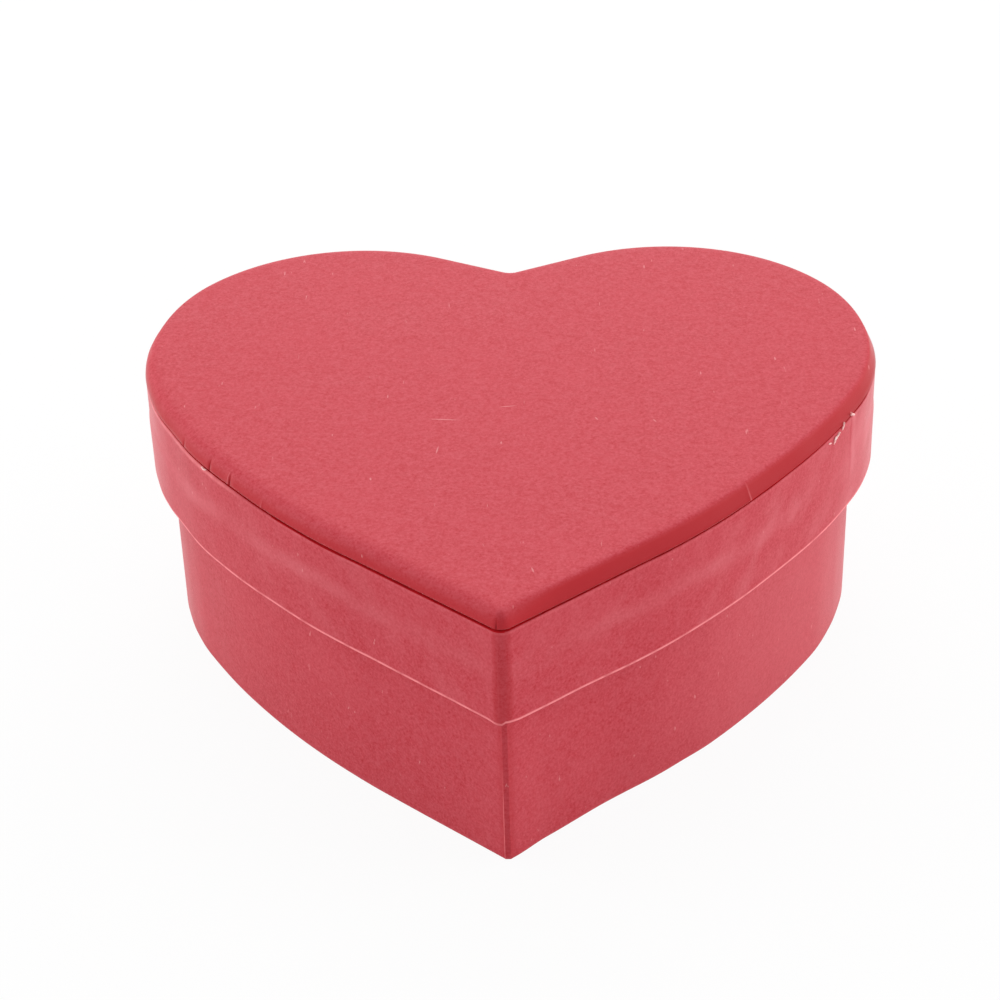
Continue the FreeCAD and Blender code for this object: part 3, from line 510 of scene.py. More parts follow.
def red_paper(name, mottling, scratches=()):
    """Matte red covering paper: cloudy, with a fine tooth, a few pale fibres and worn folds, and
    with painted shade and painted sheen from the vertex marks.
    """
    tree = Tree(name)
    clouds = tree.noise(13 * MM, 4, 0.6)
    tooth = tree.noise(0.45 * MM, 4, 0.8)
    flecks = tree.noise(1.5 * MM, 2, 0.6)
    painted_shade = tree.attribute("painted_shade")
    patches = tree.span(tree.noise(2.2 * MM, 2), 0.3, 0.55, 0.45, 1.0)
    layers = [
        (tree.span(clouds, 0.42, 0.72, 0.0, mottling), srgb(212, 94, 103)),
        (tree.span(flecks, 0.4, 0.66, 0.0, 0.16), srgb(212, 100, 110)),
        # paleness, mostly painted sheen and painted highlight on the buckle, the ripples and the
        # far sides
        (tree.math("MULTIPLY", tree.attribute("painted_sheen_and_paleness"), 0.6), srgb(220, 116, 124)),
        # painted shade: a darker tone down the points and the shoulder, and a deep one in the
        # folds' grooves
        (tree.span(painted_shade, 0.0, 1.0), srgb(183, 38, 46)),
        (tree.span(painted_shade, 1.0, 2.0), srgb(104, 10, 18)),
        (tree.math("MULTIPLY", pale_fibres(tree, scratches), 0.4), srgb(240, 170, 172)),
        (tree.math("MULTIPLY", tree.attribute("wear"), patches), srgb(246, 138, 143)),
    ]
    colour = tree.mix(tree.span(tooth, 0.3, 0.7), srgb(182, 34, 45), srgb(209, 83, 95))
    for share, tint in layers:
        colour = tree.mix(share, colour, tint)
    normal = tree.bump(tree.noise(5 * MM, 2, 0.5), 0.08 * MM, 0.5)
    normal = tree.bump(tooth, 0.03 * MM, 0.6, after=normal)
    tree.set(Specular_IOR_Level=0.14, Sheen_Weight=0.62, Sheen_Roughness=0.27)
    tree.set(Sheen_Tint=srgb(255, 214, 216))
    return tree.finish(colour, tree.span(clouds, 0.3, 0.7, 0.5, 0.62), normal)


def plain_paper(name, dark, light, size, roughness, specular):
    """Rough paper with a fibre of one size."""
    tree = Tree(name)
    fibre = tree.noise(size, 3, roughness)
    colour = tree.mix(tree.span(fibre, 0.3, 0.7), dark, light)
    tree.set(Specular_IOR_Level=specular)
    return tree.grained(colour, fibre, (0.8, 0.95), 0.03 * MM, spread=(0.3, 0.7))


def lining_paper():
    """Off-white paper on the inside, with a faint fibre."""
    tree = Tree("lining_paper")
    fibre = tree.noise(0.5 * MM, 4, 0.7)
    clouds = tree.noise(14 * MM, 3)
    colour = tree.mix(fibre, LINING_DARK, LINING_LIGHT)
    colour = tree.mix(tree.span(clouds, 0.4, 0.8, 0.0, 0.3), colour, srgb(212, 204, 190))
    tree.set(Specular_IOR_Level=0.3)
    return tree.grained(colour, fibre, (0.75, 0.9), 0.04 * MM)


def grey_board():
    """Grey board: lined on its upper face, bare recycled fibre elsewhere."""
    tree = Tree("grey_board")
    fibre = tree.noise(0.7 * MM, 5, 0.75)
    flecks = tree.noise(0.35 * MM, 1)
    bare = tree.mix(fibre, srgb(150, 140, 126), srgb(184, 175, 160))
    bare = tree.mix(tree.span(flecks, 0.68, 0.74), bare, srgb(96, 84, 72))
    lined = tree.mix(fibre, LINING_DARK, LINING_LIGHT)
    height = tree.node("ShaderNodeSeparateXYZ", {"Vector": tree.normal}).outputs["Z"]
    colour = tree.mix(tree.span(height, 0.4, 0.6), bare, lined)
    tree.set(Specular_IOR_Level=0.25)
    return tree.grained(colour, fibre, (0.8, 0.95), 0.06 * MM)


def cast_metal():
    """Zinc casting with a fine pebbled skin."""
    tree = Tree("cast_metal")
    pebbles = tree.noise(0.5 * MM, 4, 0.6)
    clouds = tree.noise(9 * MM, 3)
    colour = tree.mix(clouds, srgb(150, 151, 155), srgb(186, 187, 190))
    tree.set(Metallic=1.0)
    return tree.grained(colour, pebbles, (0.36, 0.55), 0.05 * MM, 0.7)


def brushed(name, dark, light, stretch, rough, depth=0.012 * MM):
    """Metal with fine lines along one direction."""
    tree = Tree(name)
    lines = tree.noise(0.22 * MM, 3, 0.6, stretch=stretch)
    clouds = tree.noise(5 * MM, 3)
    colour = tree.mix(lines, dark, light)
    colour = tree.mix(tree.span(clouds, 0.5, 0.9, 0.0, 0.35), colour, dark)
    tree.set(Metallic=1.0)
    return tree.grained(colour, lines, (rough, rough + 0.14), depth, 0.6)


def moulded_plastic():
    """Natural white moulded plastic."""
    tree = Tree("white_plastic")
    grain = tree.noise(0.3 * MM, 3)
    clouds = tree.noise(4 * MM, 2)
    colour = tree.mix(clouds, srgb(226, 222, 210), srgb(240, 238, 230))
    tree.set(Subsurface_Weight=0.08, Specular_IOR_Level=0.45)
    return tree.grained(colour, grain, (0.34, 0.46), 0.01 * MM)


# the panel's scratches: x, y, direction in degrees, length and width, in millimetres
SCRATCHES = [(-9.3, -2.8, -5, 5.6, 0.28), (0.2, 0.7, 8, 3.2, 0.24), (-9.9, -11.2, 82, 2.4, 0.26),
             (-0.6, -9.4, 90, 0.9, 0.3), (-19.2, -18.7, 100, 0.9, 0.34),
             (4.2, -41.7, -75, 1.5, 0.3), (22.0, -3.8, -60, 1.0, 0.26),
             (13.4, -3.0, -65, 1.1, 0.24)]
TOP_PAPER = red_paper("red_paper_top", 0.2, SCRATCHES)
RIM_PAPER = red_paper("red_paper_rim", 0.3)
WALL_PAPER = red_paper("red_paper_wall", 0.3)
# deep in the seam the paper is darkened by the glue and by painted shade, and where it is torn its
# core is pale
SEAM_GLUE_AND_SHADE_PAPER = plain_paper("red_paper_seam_glue_and_shade", srgb(180, 18, 28), srgb(204, 30, 40),
                         1.2 * MM, 0.6, 0.1)
TORN_PAPER = plain_paper("torn_paper", srgb(250, 168, 168), srgb(255, 240, 236),
                         0.3 * MM, 0.7, 0.15)
LINING = lining_paper()
BOARD = grey_board()
SPRING_STEEL = brushed("spring_steel", srgb(120, 122, 128), srgb(176, 178, 184),
                       (1, 0.08, 1), 0.28)
PLATED_STEEL = brushed("plated_steel", srgb(186, 187, 190), srgb(222, 223, 225),
                       (1, 1, 1), 0.16, 0.005 * MM)
SLOT_MATERIALS = {
    "red_board": WALL_PAPER,
    "grey_board": BOARD,
    "cast_metal": cast_metal(),
    "spring_steel": SPRING_STEEL,
    "sheet_steel": brushed("sheet_steel", srgb(158, 160, 164), srgb(202, 203, 206),
                           (0.1, 0.1, 1), 0.3),
    "arbor_steel": brushed("arbor_steel", srgb(150, 152, 158), srgb(206, 207, 212),
                           (1, 1, 0.6), 0.2),
    "brass": brushed("brass", srgb(176, 132, 58), srgb(224, 182, 98), (1, 0.2, 0.2), 0.24),
    "plated_steel": PLATED_STEEL,
    "white_plastic": moulded_plastic(),
}


def dress_cad_nodes():
    """Give every CAD node the material of its slot."""
    for part in frame["record"]["subparts"]:
        mesh = frame["nodes"][part["node"]].data
        mesh.materials.clear()
        mesh.materials.append(SLOT_MATERIALS[part["material_slot"]])


# -------- the paper box


def edge_rows(inset, edge, inwards, wear, waviness):
    """Rows at an edge of a wall's outer face, with a worn line beside it."""
    return [Row(inset, edge + inwards * (EDGE_ROUND + turn * WEAR_LINE), waviness, worn)
            for turn, worn in enumerate((wear, wear, 0.0))]


def end_rows(outer, inner, edge, inwards, wear, waviness):
    """Rows over a rounded end of a wall, from its outer to its inner face."""
    level = edge + inwards * EDGE_BEVEL
    return [Row(outer + EDGE_BEVEL, level, 0.5 * waviness, wear),
            Row(outer + EDGE_ROUND, edge, wear=END_WEAR * wear),
            Row(inner - EDGE_ROUND, edge), Row(inner - EDGE_BEVEL, level),
            Row(inner, edge + inwards * EDGE_ROUND)]


def folded_band(name, shell, outer, inner, low, high, waviness, wears, material, relief):
    """A wall's covering paper: up its outer face, over both edges and down its inner face."""
    low_wear, high_wear = wears
    margin = EDGE_ROUND + 2 * WEAR_LINE + 0.5 * ROW_STEP
    profile = edge_rows(outer, low, 1, low_wear, waviness)
    profile += wall_rows(outer, low + margin, high - margin, waviness)
    profile += edge_rows(outer, high, -1, high_wear, waviness)[::-1]
    profile += end_rows(outer, inner, high, -1, high_wear, waviness)
    profile += end_rows(outer, inner, low, 1, low_wear, waviness)[::-1]
    return sweep(name, shell, profile, material, relief=relief, sharp=27)


def lining_band(name, shell, face, low, high):
    """Lining paper on the inner face of a wall, over the turned-in covering paper."""
    back = face + PAPER
    profile = [Row(face, low), Row(face, high), Row(back, high), Row(back, low)]
    return sweep(name, shell, profile, LINING)


def crease_wear(shell, side, distance, amount):
    """Wear along the crease beside the point, on the left where the paper's edge lies."""
    beside = abs(distance - shell.crease) < 0.5 * CREASE_WIDTH
    return amount if side < 0 and beside else 0.0


# spans of marks are (start, width) for rising, (end, width) for falling, (near, full) for
# side_sheen_share
SHEEN_END = (130 * MM, 34 * MM)  # the painted sheen stops short of the cleft


def side_sheen_share(distance, near, full):
    """How much pale painted sheen a side gets round its wide part, from near on."""
    return rising(distance, near, full - near) * falling(distance, *SHEEN_END)


# the tray's crease, worn low down, its strip of painted shade down the point, and pale painted
# sheen on its right side
WORN_LOW, WORN_CREASE = (17 * MM, 8 * MM), 0.55
TRAY_STRIP, TRAY_PAINTED_SHADE = (3.5 * MM, 1.0 * MM), 0.35
TRAY_SHEEN_SPAN, TRAY_PAINTED_SHEEN = (14 * MM, 58 * MM), 0.38
TRAY_WAVINESS, TRAY_WEARS = 0.06 * MM, (0.1, 0.4)  # the wears of the lower and the upper edge


def tray_relief(side, distance, spot, number, inset):
    """The marks of the tray's covering paper, which has no relief: wear at the crease, painted
    shade down the point and painted sheen on the right.
    """
    wear = crease_wear(TRAY, side, distance, WORN_CREASE * falling(spot.z, *WORN_LOW))
    # painted shade down the point
    painted_shade = TRAY_PAINTED_SHADE * falling(distance, *TRAY_STRIP)
    # pale painted sheen on the right side
    painted_sheen_and_paleness = TRAY_PAINTED_SHEEN * side_sheen_share(distance, *TRAY_SHEEN_SPAN) if side > 0 else 0.0
    return 0.0, 0.0, {"wear": wear, "painted_shade": painted_shade, "painted_sheen_and_paleness": painted_sheen_and_paleness}


def tray_pieces():
    wall = folded_band("tray_covering", TRAY, WALL_OUTER, WALL_INNER, WALL_LOW.z, WALL_HIGH.z,
                       TRAY_WAVINESS, TRAY_WEARS, WALL_PAPER, tray_relief)
    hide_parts("tray_wall")
    recess_low = WALL_LOW.z + TURN_IN * RECESS_TURN_IN
    lining = lining_band("tray_lining", TRAY, WALL_INNER, FLOOR_HIGH.z, WALL_HIGH.z - TURN_IN)
    recess = lining_band("recess_lining", TRAY, WALL_INNER, recess_low, FLOOR_LOW.z)
    for piece, name in ((wall, "red_board"), (lining, "grey_board"), (recess, "grey_board")):
        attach(piece, "box")


# how much lower the rim's lower edge hangs, in pairs as for the shells, and its step at the point
RIM_DROP = {-1: [(0, 0), (44, 0), (56, 0.35), (70, 0.3), (90, 0)],
            1: [(0, 0), (12, 0.15), (24, 0.55), (38, 0.35), (52, 0.3), (66, 0.5), (90, 0.4),
                (115, 0)]}
STEP_ROOM, STEP_END, STEP_HEIGHT, STEP_TOP = 0.2 * MM, (3 * MM, 2 * MM), 0.22 * MM, 0.1
# the buckle in the rim's covering paper: below it the paper stands out a little further, and a pale
# streak along it is painted highlight
BUCKLE_LEVEL, BUCKLE_BAND = 0.58, 0.09  # shares of the rim's height
BUCKLE_DEPTH = 0.14 * MM
# pale streaks of painted light along the ripples and the clouds on the right
RIPPLE_RISE, RIPPLE_DEPTH, RIPPLE_PAINTED_LIGHT = 12 * MM, 0.05 * MM, {-1: 0.8, 1: 1.2}
CLOUD_RISE, CLOUD_SPAN, CLOUD_PAINTED_LIGHT = (18 * MM, 20 * MM), (28 * MM, 48 * MM), 0.8
LAP_RISE, LAP_DEPTH, LAP_BLOOM = (3 * MM, 5 * MM), 0.1 * MM, 0.6
# pale painted sheen at the rim's far sides
FAR_SHEEN_SPAN, FAR_PAINTED_SHEEN = (68 * MM, 84 * MM), {-1: 0.6, 1: 0.3}
# painted shade down the rim's point
RIM_STRIP, RIM_PAINTED_SHADE = (1.9 * MM, 0.7 * MM), 0.5
RIM_CREASE_WEAR = 0.05
TOP_EDGE, TOP_RISE, TOP_PALE_LINE = 0.965, (50 * MM, 8 * MM), 0.6  # paler along the upper edge on the left, above a height
SKIN_DEPTH = 0.5 * MM  # rows further in are behind the rim's covering paper
RIM_WAVINESS, RIM_WEARS = 0.10 * MM, (1.0, 0.1)


def rim_lift(side, distance, height):
    """The uneven lower edge of the rim."""
    lift = -between(RIM_DROP[side], distance) * (1 - height)
    if distance > STEP_ROOM and height < STEP_TOP:
        lift += STEP_HEIGHT * side * falling(distance, *STEP_END)
    return lift


def buckle(side, distance, spot, height):
    """How far the buckled and rippled paper is drawn in, and how pale it is painted along the
    buckle and the ripples, as painted highlight.
    """
    x, y, z = spot
    level = BUCKLE_LEVEL + 0.1 * wave((x, y, 0), 16 * MM, 8.4)
    level += 0.04 * wave((x, y, 0), 5 * MM, 2.9)
    above = (height - level) / BUCKLE_BAND
    # a pale streak along the buckle: painted highlight
    streak = math.exp(-above ** 2) * (0.5 + 0.6 * wave((x, y, 0), 11 * MM, 5.9))
    ripple = wave((distance - 0.8 * z, 0.3 * z, side * 40 * MM), 6 * MM, 4.4)
    fine = wave((distance - 0.5 * z, z, side * 60 * MM), 2.6 * MM, 7.7)
    pull = BUCKLE_DEPTH * smooth_step(above + 0.5)
    pull += RIPPLE_DEPTH * ripple * rising(distance, 0.0, RIPPLE_RISE)
    painted_sheen_and_paleness = max(0.0, streak) + 0.5 * max(0.0, ripple + 0.35 * fine) * RIPPLE_PAINTED_LIGHT[side]
    return pull, painted_sheen_and_paleness


def right_of_rim(distance, z, pull, painted_sheen_and_paleness):
    """The same with pale streaks of painted light on the right side, and the lap of the paper's
    end.
    """
    cloud = wave((distance - 0.7 * z, 0.8 * z, 25 * MM), 3.4 * MM, 6.1)
    painted_sheen_and_paleness *= 0.6 + 0.4 * rising(distance, *CLOUD_RISE)
    # pale streaks of painted light on the right side
    painted_sheen_and_paleness += CLOUD_PAINTED_LIGHT * max(0.0, cloud) * side_sheen_share(distance, *CLOUD_SPAN)
    past = (distance - LAP) / LAP_WIDTH
    upper = rising(z - RIM_LOW.z, *LAP_RISE)
    pull -= LAP_DEPTH * upper * smooth_step(0.5 + 0.5 * past) * smooth_step(4 - past / 8)
    painted_sheen_and_paleness += LAP_BLOOM * upper * smooth_step(past) * smooth_step(1.5 - past / 6)
    return pull, painted_sheen_and_paleness


def rim_relief(side, distance, spot, number, inset):
    """The rim's uneven lower edge, and its covering paper's relief and marks."""
    height = (spot.z - RIM_LOW.z) / (RIM_HIGH.z - RIM_LOW.z)
    lift = rim_lift(side, distance, height)
    if inset > SKIN_DEPTH:
        return 0.0, lift, {}
    pull, painted_sheen_and_paleness = buckle(side, distance, spot, height)
    if side > 0:
        pull, painted_sheen_and_paleness = right_of_rim(distance, spot.z, pull, painted_sheen_and_paleness)
    # painted sheen at the far sides
    painted_sheen_and_paleness += FAR_PAINTED_SHEEN[side] * side_sheen_share(distance, *FAR_SHEEN_SPAN)
    # painted shade down the point, less towards the top
    painted_shade = RIM_PAINTED_SHADE * falling(distance, *RIM_STRIP) * (1 - 0.3 * height)
    wear = crease_wear(LID, side, distance, RIM_CREASE_WEAR)
    if side < 0 and height > TOP_EDGE:
        wear = max(wear, TOP_PALE_LINE * rising(distance, *TOP_RISE))
    return pull, lift, {"wear": wear, "painted_shade": painted_shade, "painted_sheen_and_paleness": painted_sheen_and_paleness * (1 - painted_shade)}


# the panel's edge in shares of its reach and height, soft on the left and crisp on the right
SOFT_SHOULDER = [(0.0, 0.15), (0.03, 0.36), (0.09, 0.56), (0.18, 0.71), (0.30, 0.82), (0.45, 0.91),
                 (0.62, 0.965), (0.80, 0.99), (1.0, 1.0)]
CRISP_SHOULDER = [(0.0, 0.15), (0.10, 0.36), (0.20, 0.57), (0.29, 0.76), (0.36, 0.89), (0.43, 0.95),
                  (0.52, 0.98), (0.72, 0.995), (1.0, 1.0)]
SHOULDER_REACH = 2.9 * MM
PANEL_HEIGHT = PANEL_HIGH.z - PANEL_LOW.z
PANEL_WAVINESS = 0.05 * MM
# the seam under the panel as (depth, height): a slot with the panel's board at its back
SEAM = [(0.9 * MM, 0.0), (0.8 * MM, 0.25 * MM), (0.3 * MM, 0.27 * MM), (0.06 * MM, 0.36 * MM)]
# how much wider the seam stands open, in pairs as for the shells
SEAM_OPEN = {-1: [(0, 0.14), (56, 0.14), (80, 0), (150, 0)],
             1: [(0, 0.14), (14, 0.08), (40, 0), (70, -0.04), (150, 0)]}
CRISP_RIGHT, CRISP_BACK = (-5 * MM, 14 * MM), (18 * MM, 14 * MM)  # where it turns crisp
# painted shade in a fold's groove, and wear on a worn ridge
FOLD_PAINTED_SHADE, FOLD_WEAR = 0.9, 0.45


def shoulder_painted_shade(step, crisp):
    """How much painted shade the panel's edge gets at a row of its shoulder."""
    soft = 0.85 * smooth_step(1.15 - step / 4)
    full = smooth_step(2.0 - step / 3) + 0.12 * max(0.0, 1 - step / 4)
    return soft + (full - soft) * crisp


def panel_relief(side, distance, spot, number, inset):
    """The seam's width, the shoulder's crisp part and the small folds in the edge, with painted
    shade in the seam, on the shoulder and in the folds.
    """
    step = number - len(SEAM)
    opening = between(SEAM_OPEN[side], distance) if 0 < number <= len(SEAM) else 0.0
    if step < 0:
        # the seam's slot is painted shade
        return 0.0, opening, {"painted_shade": 1.0}
    crisp = max(rising(spot.x, *CRISP_RIGHT), rising(spot.y, *CRISP_BACK))
    (soft_in, soft_up), (crisp_in, crisp_up) = SOFT_SHOULDER[step], CRISP_SHOULDER[step]
    pull = crisp * SHOULDER_REACH * (crisp_in - soft_in)
    lift = crisp * PANEL_HEIGHT * (crisp_up - soft_up) + opening
    wear, painted_shade = 0.0, shoulder_painted_shade(step, crisp)
    share = step / (len(SOFT_SHOULDER) - 1)
    for fold_side, fold_at, reach, depth in FOLDS:
        offset = abs(distance - fold_at * MM) / FOLD_WIDTH
        if fold_side == side and offset < 1.01 and share < reach:
            form = (1 - offset) * (1 - share / reach)
            pull += depth * MM * form
            painted_shade += FOLD_PAINTED_SHADE * form * (depth > 0)
            wear = max(wear, FOLD_WEAR * form * (depth < 0))
    return pull, lift, {"wear": wear, "painted_shade": painted_shade}


def panel_profile():
    rows = [Row(PANEL_INSET + depth, PANEL_LOW.z + up) for depth, up in SEAM]
    for inwards, upwards in SOFT_SHOULDER:
        inset = PANEL_INSET + SHOULDER_REACH * inwards
        waviness = PANEL_WAVINESS * (1 - inwards)
        rows.append(Row(inset, PANEL_LOW.z + PANEL_HEIGHT * upwards, waviness))
    return rows


def line_seam(piece, low, high):
    """The seam's dark paper, darkened by glue and by painted shade, on the faces between two
    heights.
    """
    piece.data.materials.append(SEAM_GLUE_AND_SHADE_PAPER)
    for polygon in piece.data.polygons:
        if low < polygon.center.z < high:
            polygon.material_index = 1


# torn flakes at the seam: side, distance from the point, height over the rim's upper edge and
# size in millimetres, and turn in degrees
FLAKES = [(1, 75.4, 0.4, 1.6, 150), (1, 74.8, 0.8, 0.9, 100), (1, 72.0, 0.2, 1.3, 60),
          (1, 69.9, -0.5, 1.9, 10), (1, 69.3, -0.9, 1.2, 50), (1, 67.6, -0.5, 0.9, -20),
          (-1, 60.9, 0.1, 1.5, 0)]
FLAKE_SHAPE = [(-0.5, -0.03), (-0.1, -0.12), (0.22, -0.04), (0.5, 0.1), (0.2, 0.07), (0.0, 0.02),
               (-0.2, 0.16)]
FLAKE_FACES = (-0.1, 0.08)  # how far its back and front stand out, more towards one end


def torn_flakes():
    bm = bmesh.new()
    for side, distance, height, size, turn in FLAKES:
        pull = LID.drawn_in(side, distance * MM, RIM_HIGH.z, 0.0)
        place, normal = Heart.point(distance * MM, pull)
        outward = Vector((side * normal.x, normal.y, 0))
        along = Vector((-outward.y, outward.x, 0))
        across = polar(math.radians(turn))
        rows = []
        for proud in FLAKE_FACES:
            row = []
            for first, second in FLAKE_SHAPE:
                right = size * MM * (first * across.x - second * across.y)
                up = size * MM * (first * across.y + second * across.x)
                spot = Vector((side * place.x, place.y, RIM_HIGH.z + height * MM + up))
                out = outward * proud * MM * (1 + first)
                row.append(bm.verts.new(spot + along * right + out))
            rows.append(row)
        loft(bm, rows)
    return finish_mesh("torn_flakes", bm, TORN_PAPER, smooth=False)


# the seam's faces: above the first height on the rim, between the other two on the panel
SEAM_RIM, SEAM_PANEL = RIM_HIGH.z - 0.03 * MM, (PANEL_LOW.z + 0.05 * MM, PANEL_LOW.z + 0.4 * MM)
LINING_ROOM, LINING_GAP = 0.1 * MM, 0.01 * MM  # round the lid's lining, and over it


def lid_pieces():
    rim = folded_band("lid_rim_covering", LID, 0.0, RIM_INNER, RIM_LOW.z, RIM_HIGH.z,
                      RIM_WAVINESS, RIM_WEARS, RIM_PAPER, rim_relief)
    line_seam(rim, SEAM_RIM, RIM_HIGH.z + MM)
    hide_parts("lid_rim")
    panel = sweep("lid_panel_covering", LID, panel_profile(), TOP_PAPER, closed=False,
                  relief=panel_relief, sharp=60)
    line_seam(panel, *SEAM_PANEL)
    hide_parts("lid_top")
    inset = RIM_INNER + LINING_ROOM
    profile = [Row(inset, PANEL_LOW.z - PAPER), Row(inset, PANEL_LOW.z - LINING_GAP)]
    lining = sweep("lid_lining", LID, profile, LINING, closed=False)
    flakes = torn_flakes()
    for piece, name in ((rim, "red_board"), (panel, "red_board"), (lining, "grey_board"),
                        (flakes, "red_board")):
        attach(piece, "lid")


# -------- small parts of the movement

# slotted screws: radius and height of the head, radius of the shank, and how much of it is made
COMB_SCREW = (1.5 * MM, 1.0 * MM, 0.7 * MM, 0.7 * MM)
MOUNTING_SCREW = (2.5 * MM, 1.1 * MM, 1.25 * MM, 0.2 * MM)
BRACKET_SCREW = (1.0 * MM, 0.7 * MM, 0.6 * MM, 0.5 * MM)
SCREW_CHAMFER = 0.3 * MM
METAL_SHARP = 35  # edges of metal that are steeper stay sharp
SLOT_LEVEL, ROUND_LEVEL = 0.55, 0.85  # shares of a head's height: the slot's floor, the rounding
SLOT_HALF, ROUND_SCALE = 0.16, 0.9  # shares of its radius: half the slot's width, the top
SHANK_END = 0.7  # share of a shank's radius
HEAD_STEPS = 14
SLOT_TURN = 900  # radians for a metre in x, so that the slots lie each way


def half_head_row(bm, matrix, radius, scale, level, arc):
    """A row round half a slotted head, drawn in by a scale except beside the slot."""
    row = []
    for angle in arc:
        across = radius * math.sin(angle)
        if abs(math.sin(angle)) > 0.5:
            across *= scale
        spot = Vector((radius * scale * math.cos(angle), across, level))
        row.append(bm.verts.new(matrix @ spot))
    return row


def slotted_head(bm, base, axis, radius, height):
    """A screw head with rounded edge and a slot, standing on its base."""
    slot_floor = SLOT_LEVEL * height
    lathe(bm, [(0, 0), (radius, 0), (radius, slot_floor), (0, slot_floor)], base, axis)
    matrix = standing(base, axis) @ Matrix.Rotation(base.x * SLOT_TURN, 4, "Z")
    edge = math.asin(SLOT_HALF)
    levels = ((1.0, slot_floor), (1.0, ROUND_LEVEL * height), (ROUND_SCALE, height))
    for flip in (0.0, math.pi):
        arc = [edge + (math.pi - 2 * edge) * turn / HEAD_STEPS + flip
               for turn in range(HEAD_STEPS + 1)]
        loft(bm, [half_head_row(bm, matrix, radius, *level, arc) for level in levels])


def screws(name, places, axis, sizes):
    """Slotted screws at the undersides of their heads."""
    head_radius, head_height, shank_radius, shank_length = sizes
    bm = bmesh.new()
    for place in places:
        slotted_head(bm, Vector(place), axis, head_radius, head_height)
        shank = [(0, -shank_length), (shank_radius * SHANK_END, -shank_length),
                 (shank_radius, -shank_length + SCREW_CHAMFER), (shank_radius, 0), (0, 0)]
        lathe(bm, shank, Vector(place), axis)
    return finish_mesh(name, bm, PLATED_STEEL, sharp=METAL_SHARP)


COMB_SCREW_ROW = 2.6 * MM  # from the front of the comb
COMB_SCREW_SHARES = (0.16, 0.5, 0.84)  # of the comb's length


def fasteners():
    """Screws of the comb, and the mounting screws with their slots."""
    low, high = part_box("comb")
    row_y = low.y + COMB_SCREW_ROW
    places = [(low.x + (high.x - low.x) * share, row_y, high.z) for share in COMB_SCREW_SHARES]
    comb_screws = screws("comb_screws", places, UP, COMB_SCREW)
    low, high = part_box("mounting_screws")
    head, height, shank = MOUNTING_SCREW[:3]
    top = low.z + height
    corners = [(high.x - head, low.y + head, top), (low.x + head, high.y - head, top)]
    mounts = screws("mounting_screws_slotted", corners, DOWN, MOUNTING_SCREW)
    length = high.z - top
    shanks = bmesh.new()
    for corner in corners:
        lathe(shanks, [(0, 0), (shank, 0), (shank, length - SCREW_CHAMFER),
                       (shank - SCREW_CHAMFER, length), (0, length)], Vector(corner), UP)
    shank_piece = finish_mesh("mounting_shanks", shanks, PLATED_STEEL, sharp=METAL_SHARP)
    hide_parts("mounting_screws")
    for piece in (comb_screws, mounts, shank_piece):
        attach(piece, "box")


# the brackets' feet: node, direction in x, length, width, and middle in y if it isn't the node's
FEET = [("left_bearing_bracket", -1, 5.0 * MM, 5.0 * MM, None),
        ("right_bearing_bracket", 1, 5.0 * MM, 5.0 * MM, 8.0 * MM),
        ("governor_bearing_bracket", 1, 2.6 * MM, 4.4 * MM, None)]
FOOT_SHEET, FOOT_BEND, BEND_STEPS = 1.0 * MM, 0.9 * MM, 5
FOOT_SCREW = 0.58  # share of a foot's length


def bent_foot(bm, face, towards, y_low, y_high, base, length):
    """A foot bent out from the lower end of an upright bracket."""
    profile = [(0, 0), (length, 0), (length, FOOT_SHEET), (FOOT_BEND, FOOT_SHEET)]
    for turn in range(1, BEND_STEPS + 1):
        angle = turn * math.pi / (2 * BEND_STEPS)
        along = FOOT_BEND * (1 - math.sin(angle))
        profile.append((along, FOOT_SHEET + FOOT_BEND * (1 - math.cos(angle))))
    loft(bm, [[bm.verts.new((face + towards * along, y, base + up)) for along, up in profile]
              for y in (y_low, y_high)])


def bracket_feet():
    """The three bearing brackets' feet, each held by a slotted screw."""
    bm = bmesh.new()
    places = []
    for node, towards, length, width, middle in FEET:
        low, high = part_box(node)
        face = low.x if towards < 0 else high.x
        y = (low.y + high.y) / 2 if middle is None else middle
        bent_foot(bm, face, towards, y - width / 2, y + width / 2, low.z, length)
        places.append((face + towards * FOOT_SCREW * length, y, low.z + FOOT_SHEET))
    feet = finish_mesh("bracket_feet", bm, SLOT_MATERIALS["sheet_steel"], sharp=METAL_SHARP)
    heads = screws("bracket_screws", places, UP, BRACKET_SCREW)
    for piece, name in ((feet, "sheet_steel"), (heads, "plated_steel")):
        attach(piece, "box")


PIN_ROWS, PIN_TRACKS = 36, 18  # round the cylinder and along it
PIN_PITCH = 1.02 * MM
PIN_HEIGHT = 0.6 * MM
PIN_SHAPE = [(0.21 * MM, 0), (0.16 * MM, 0.5 * MM), (0.0, PIN_HEIGHT)]
PINS_IN_A_ROW = (2, 2, 3)
TUNE_SEED = 7


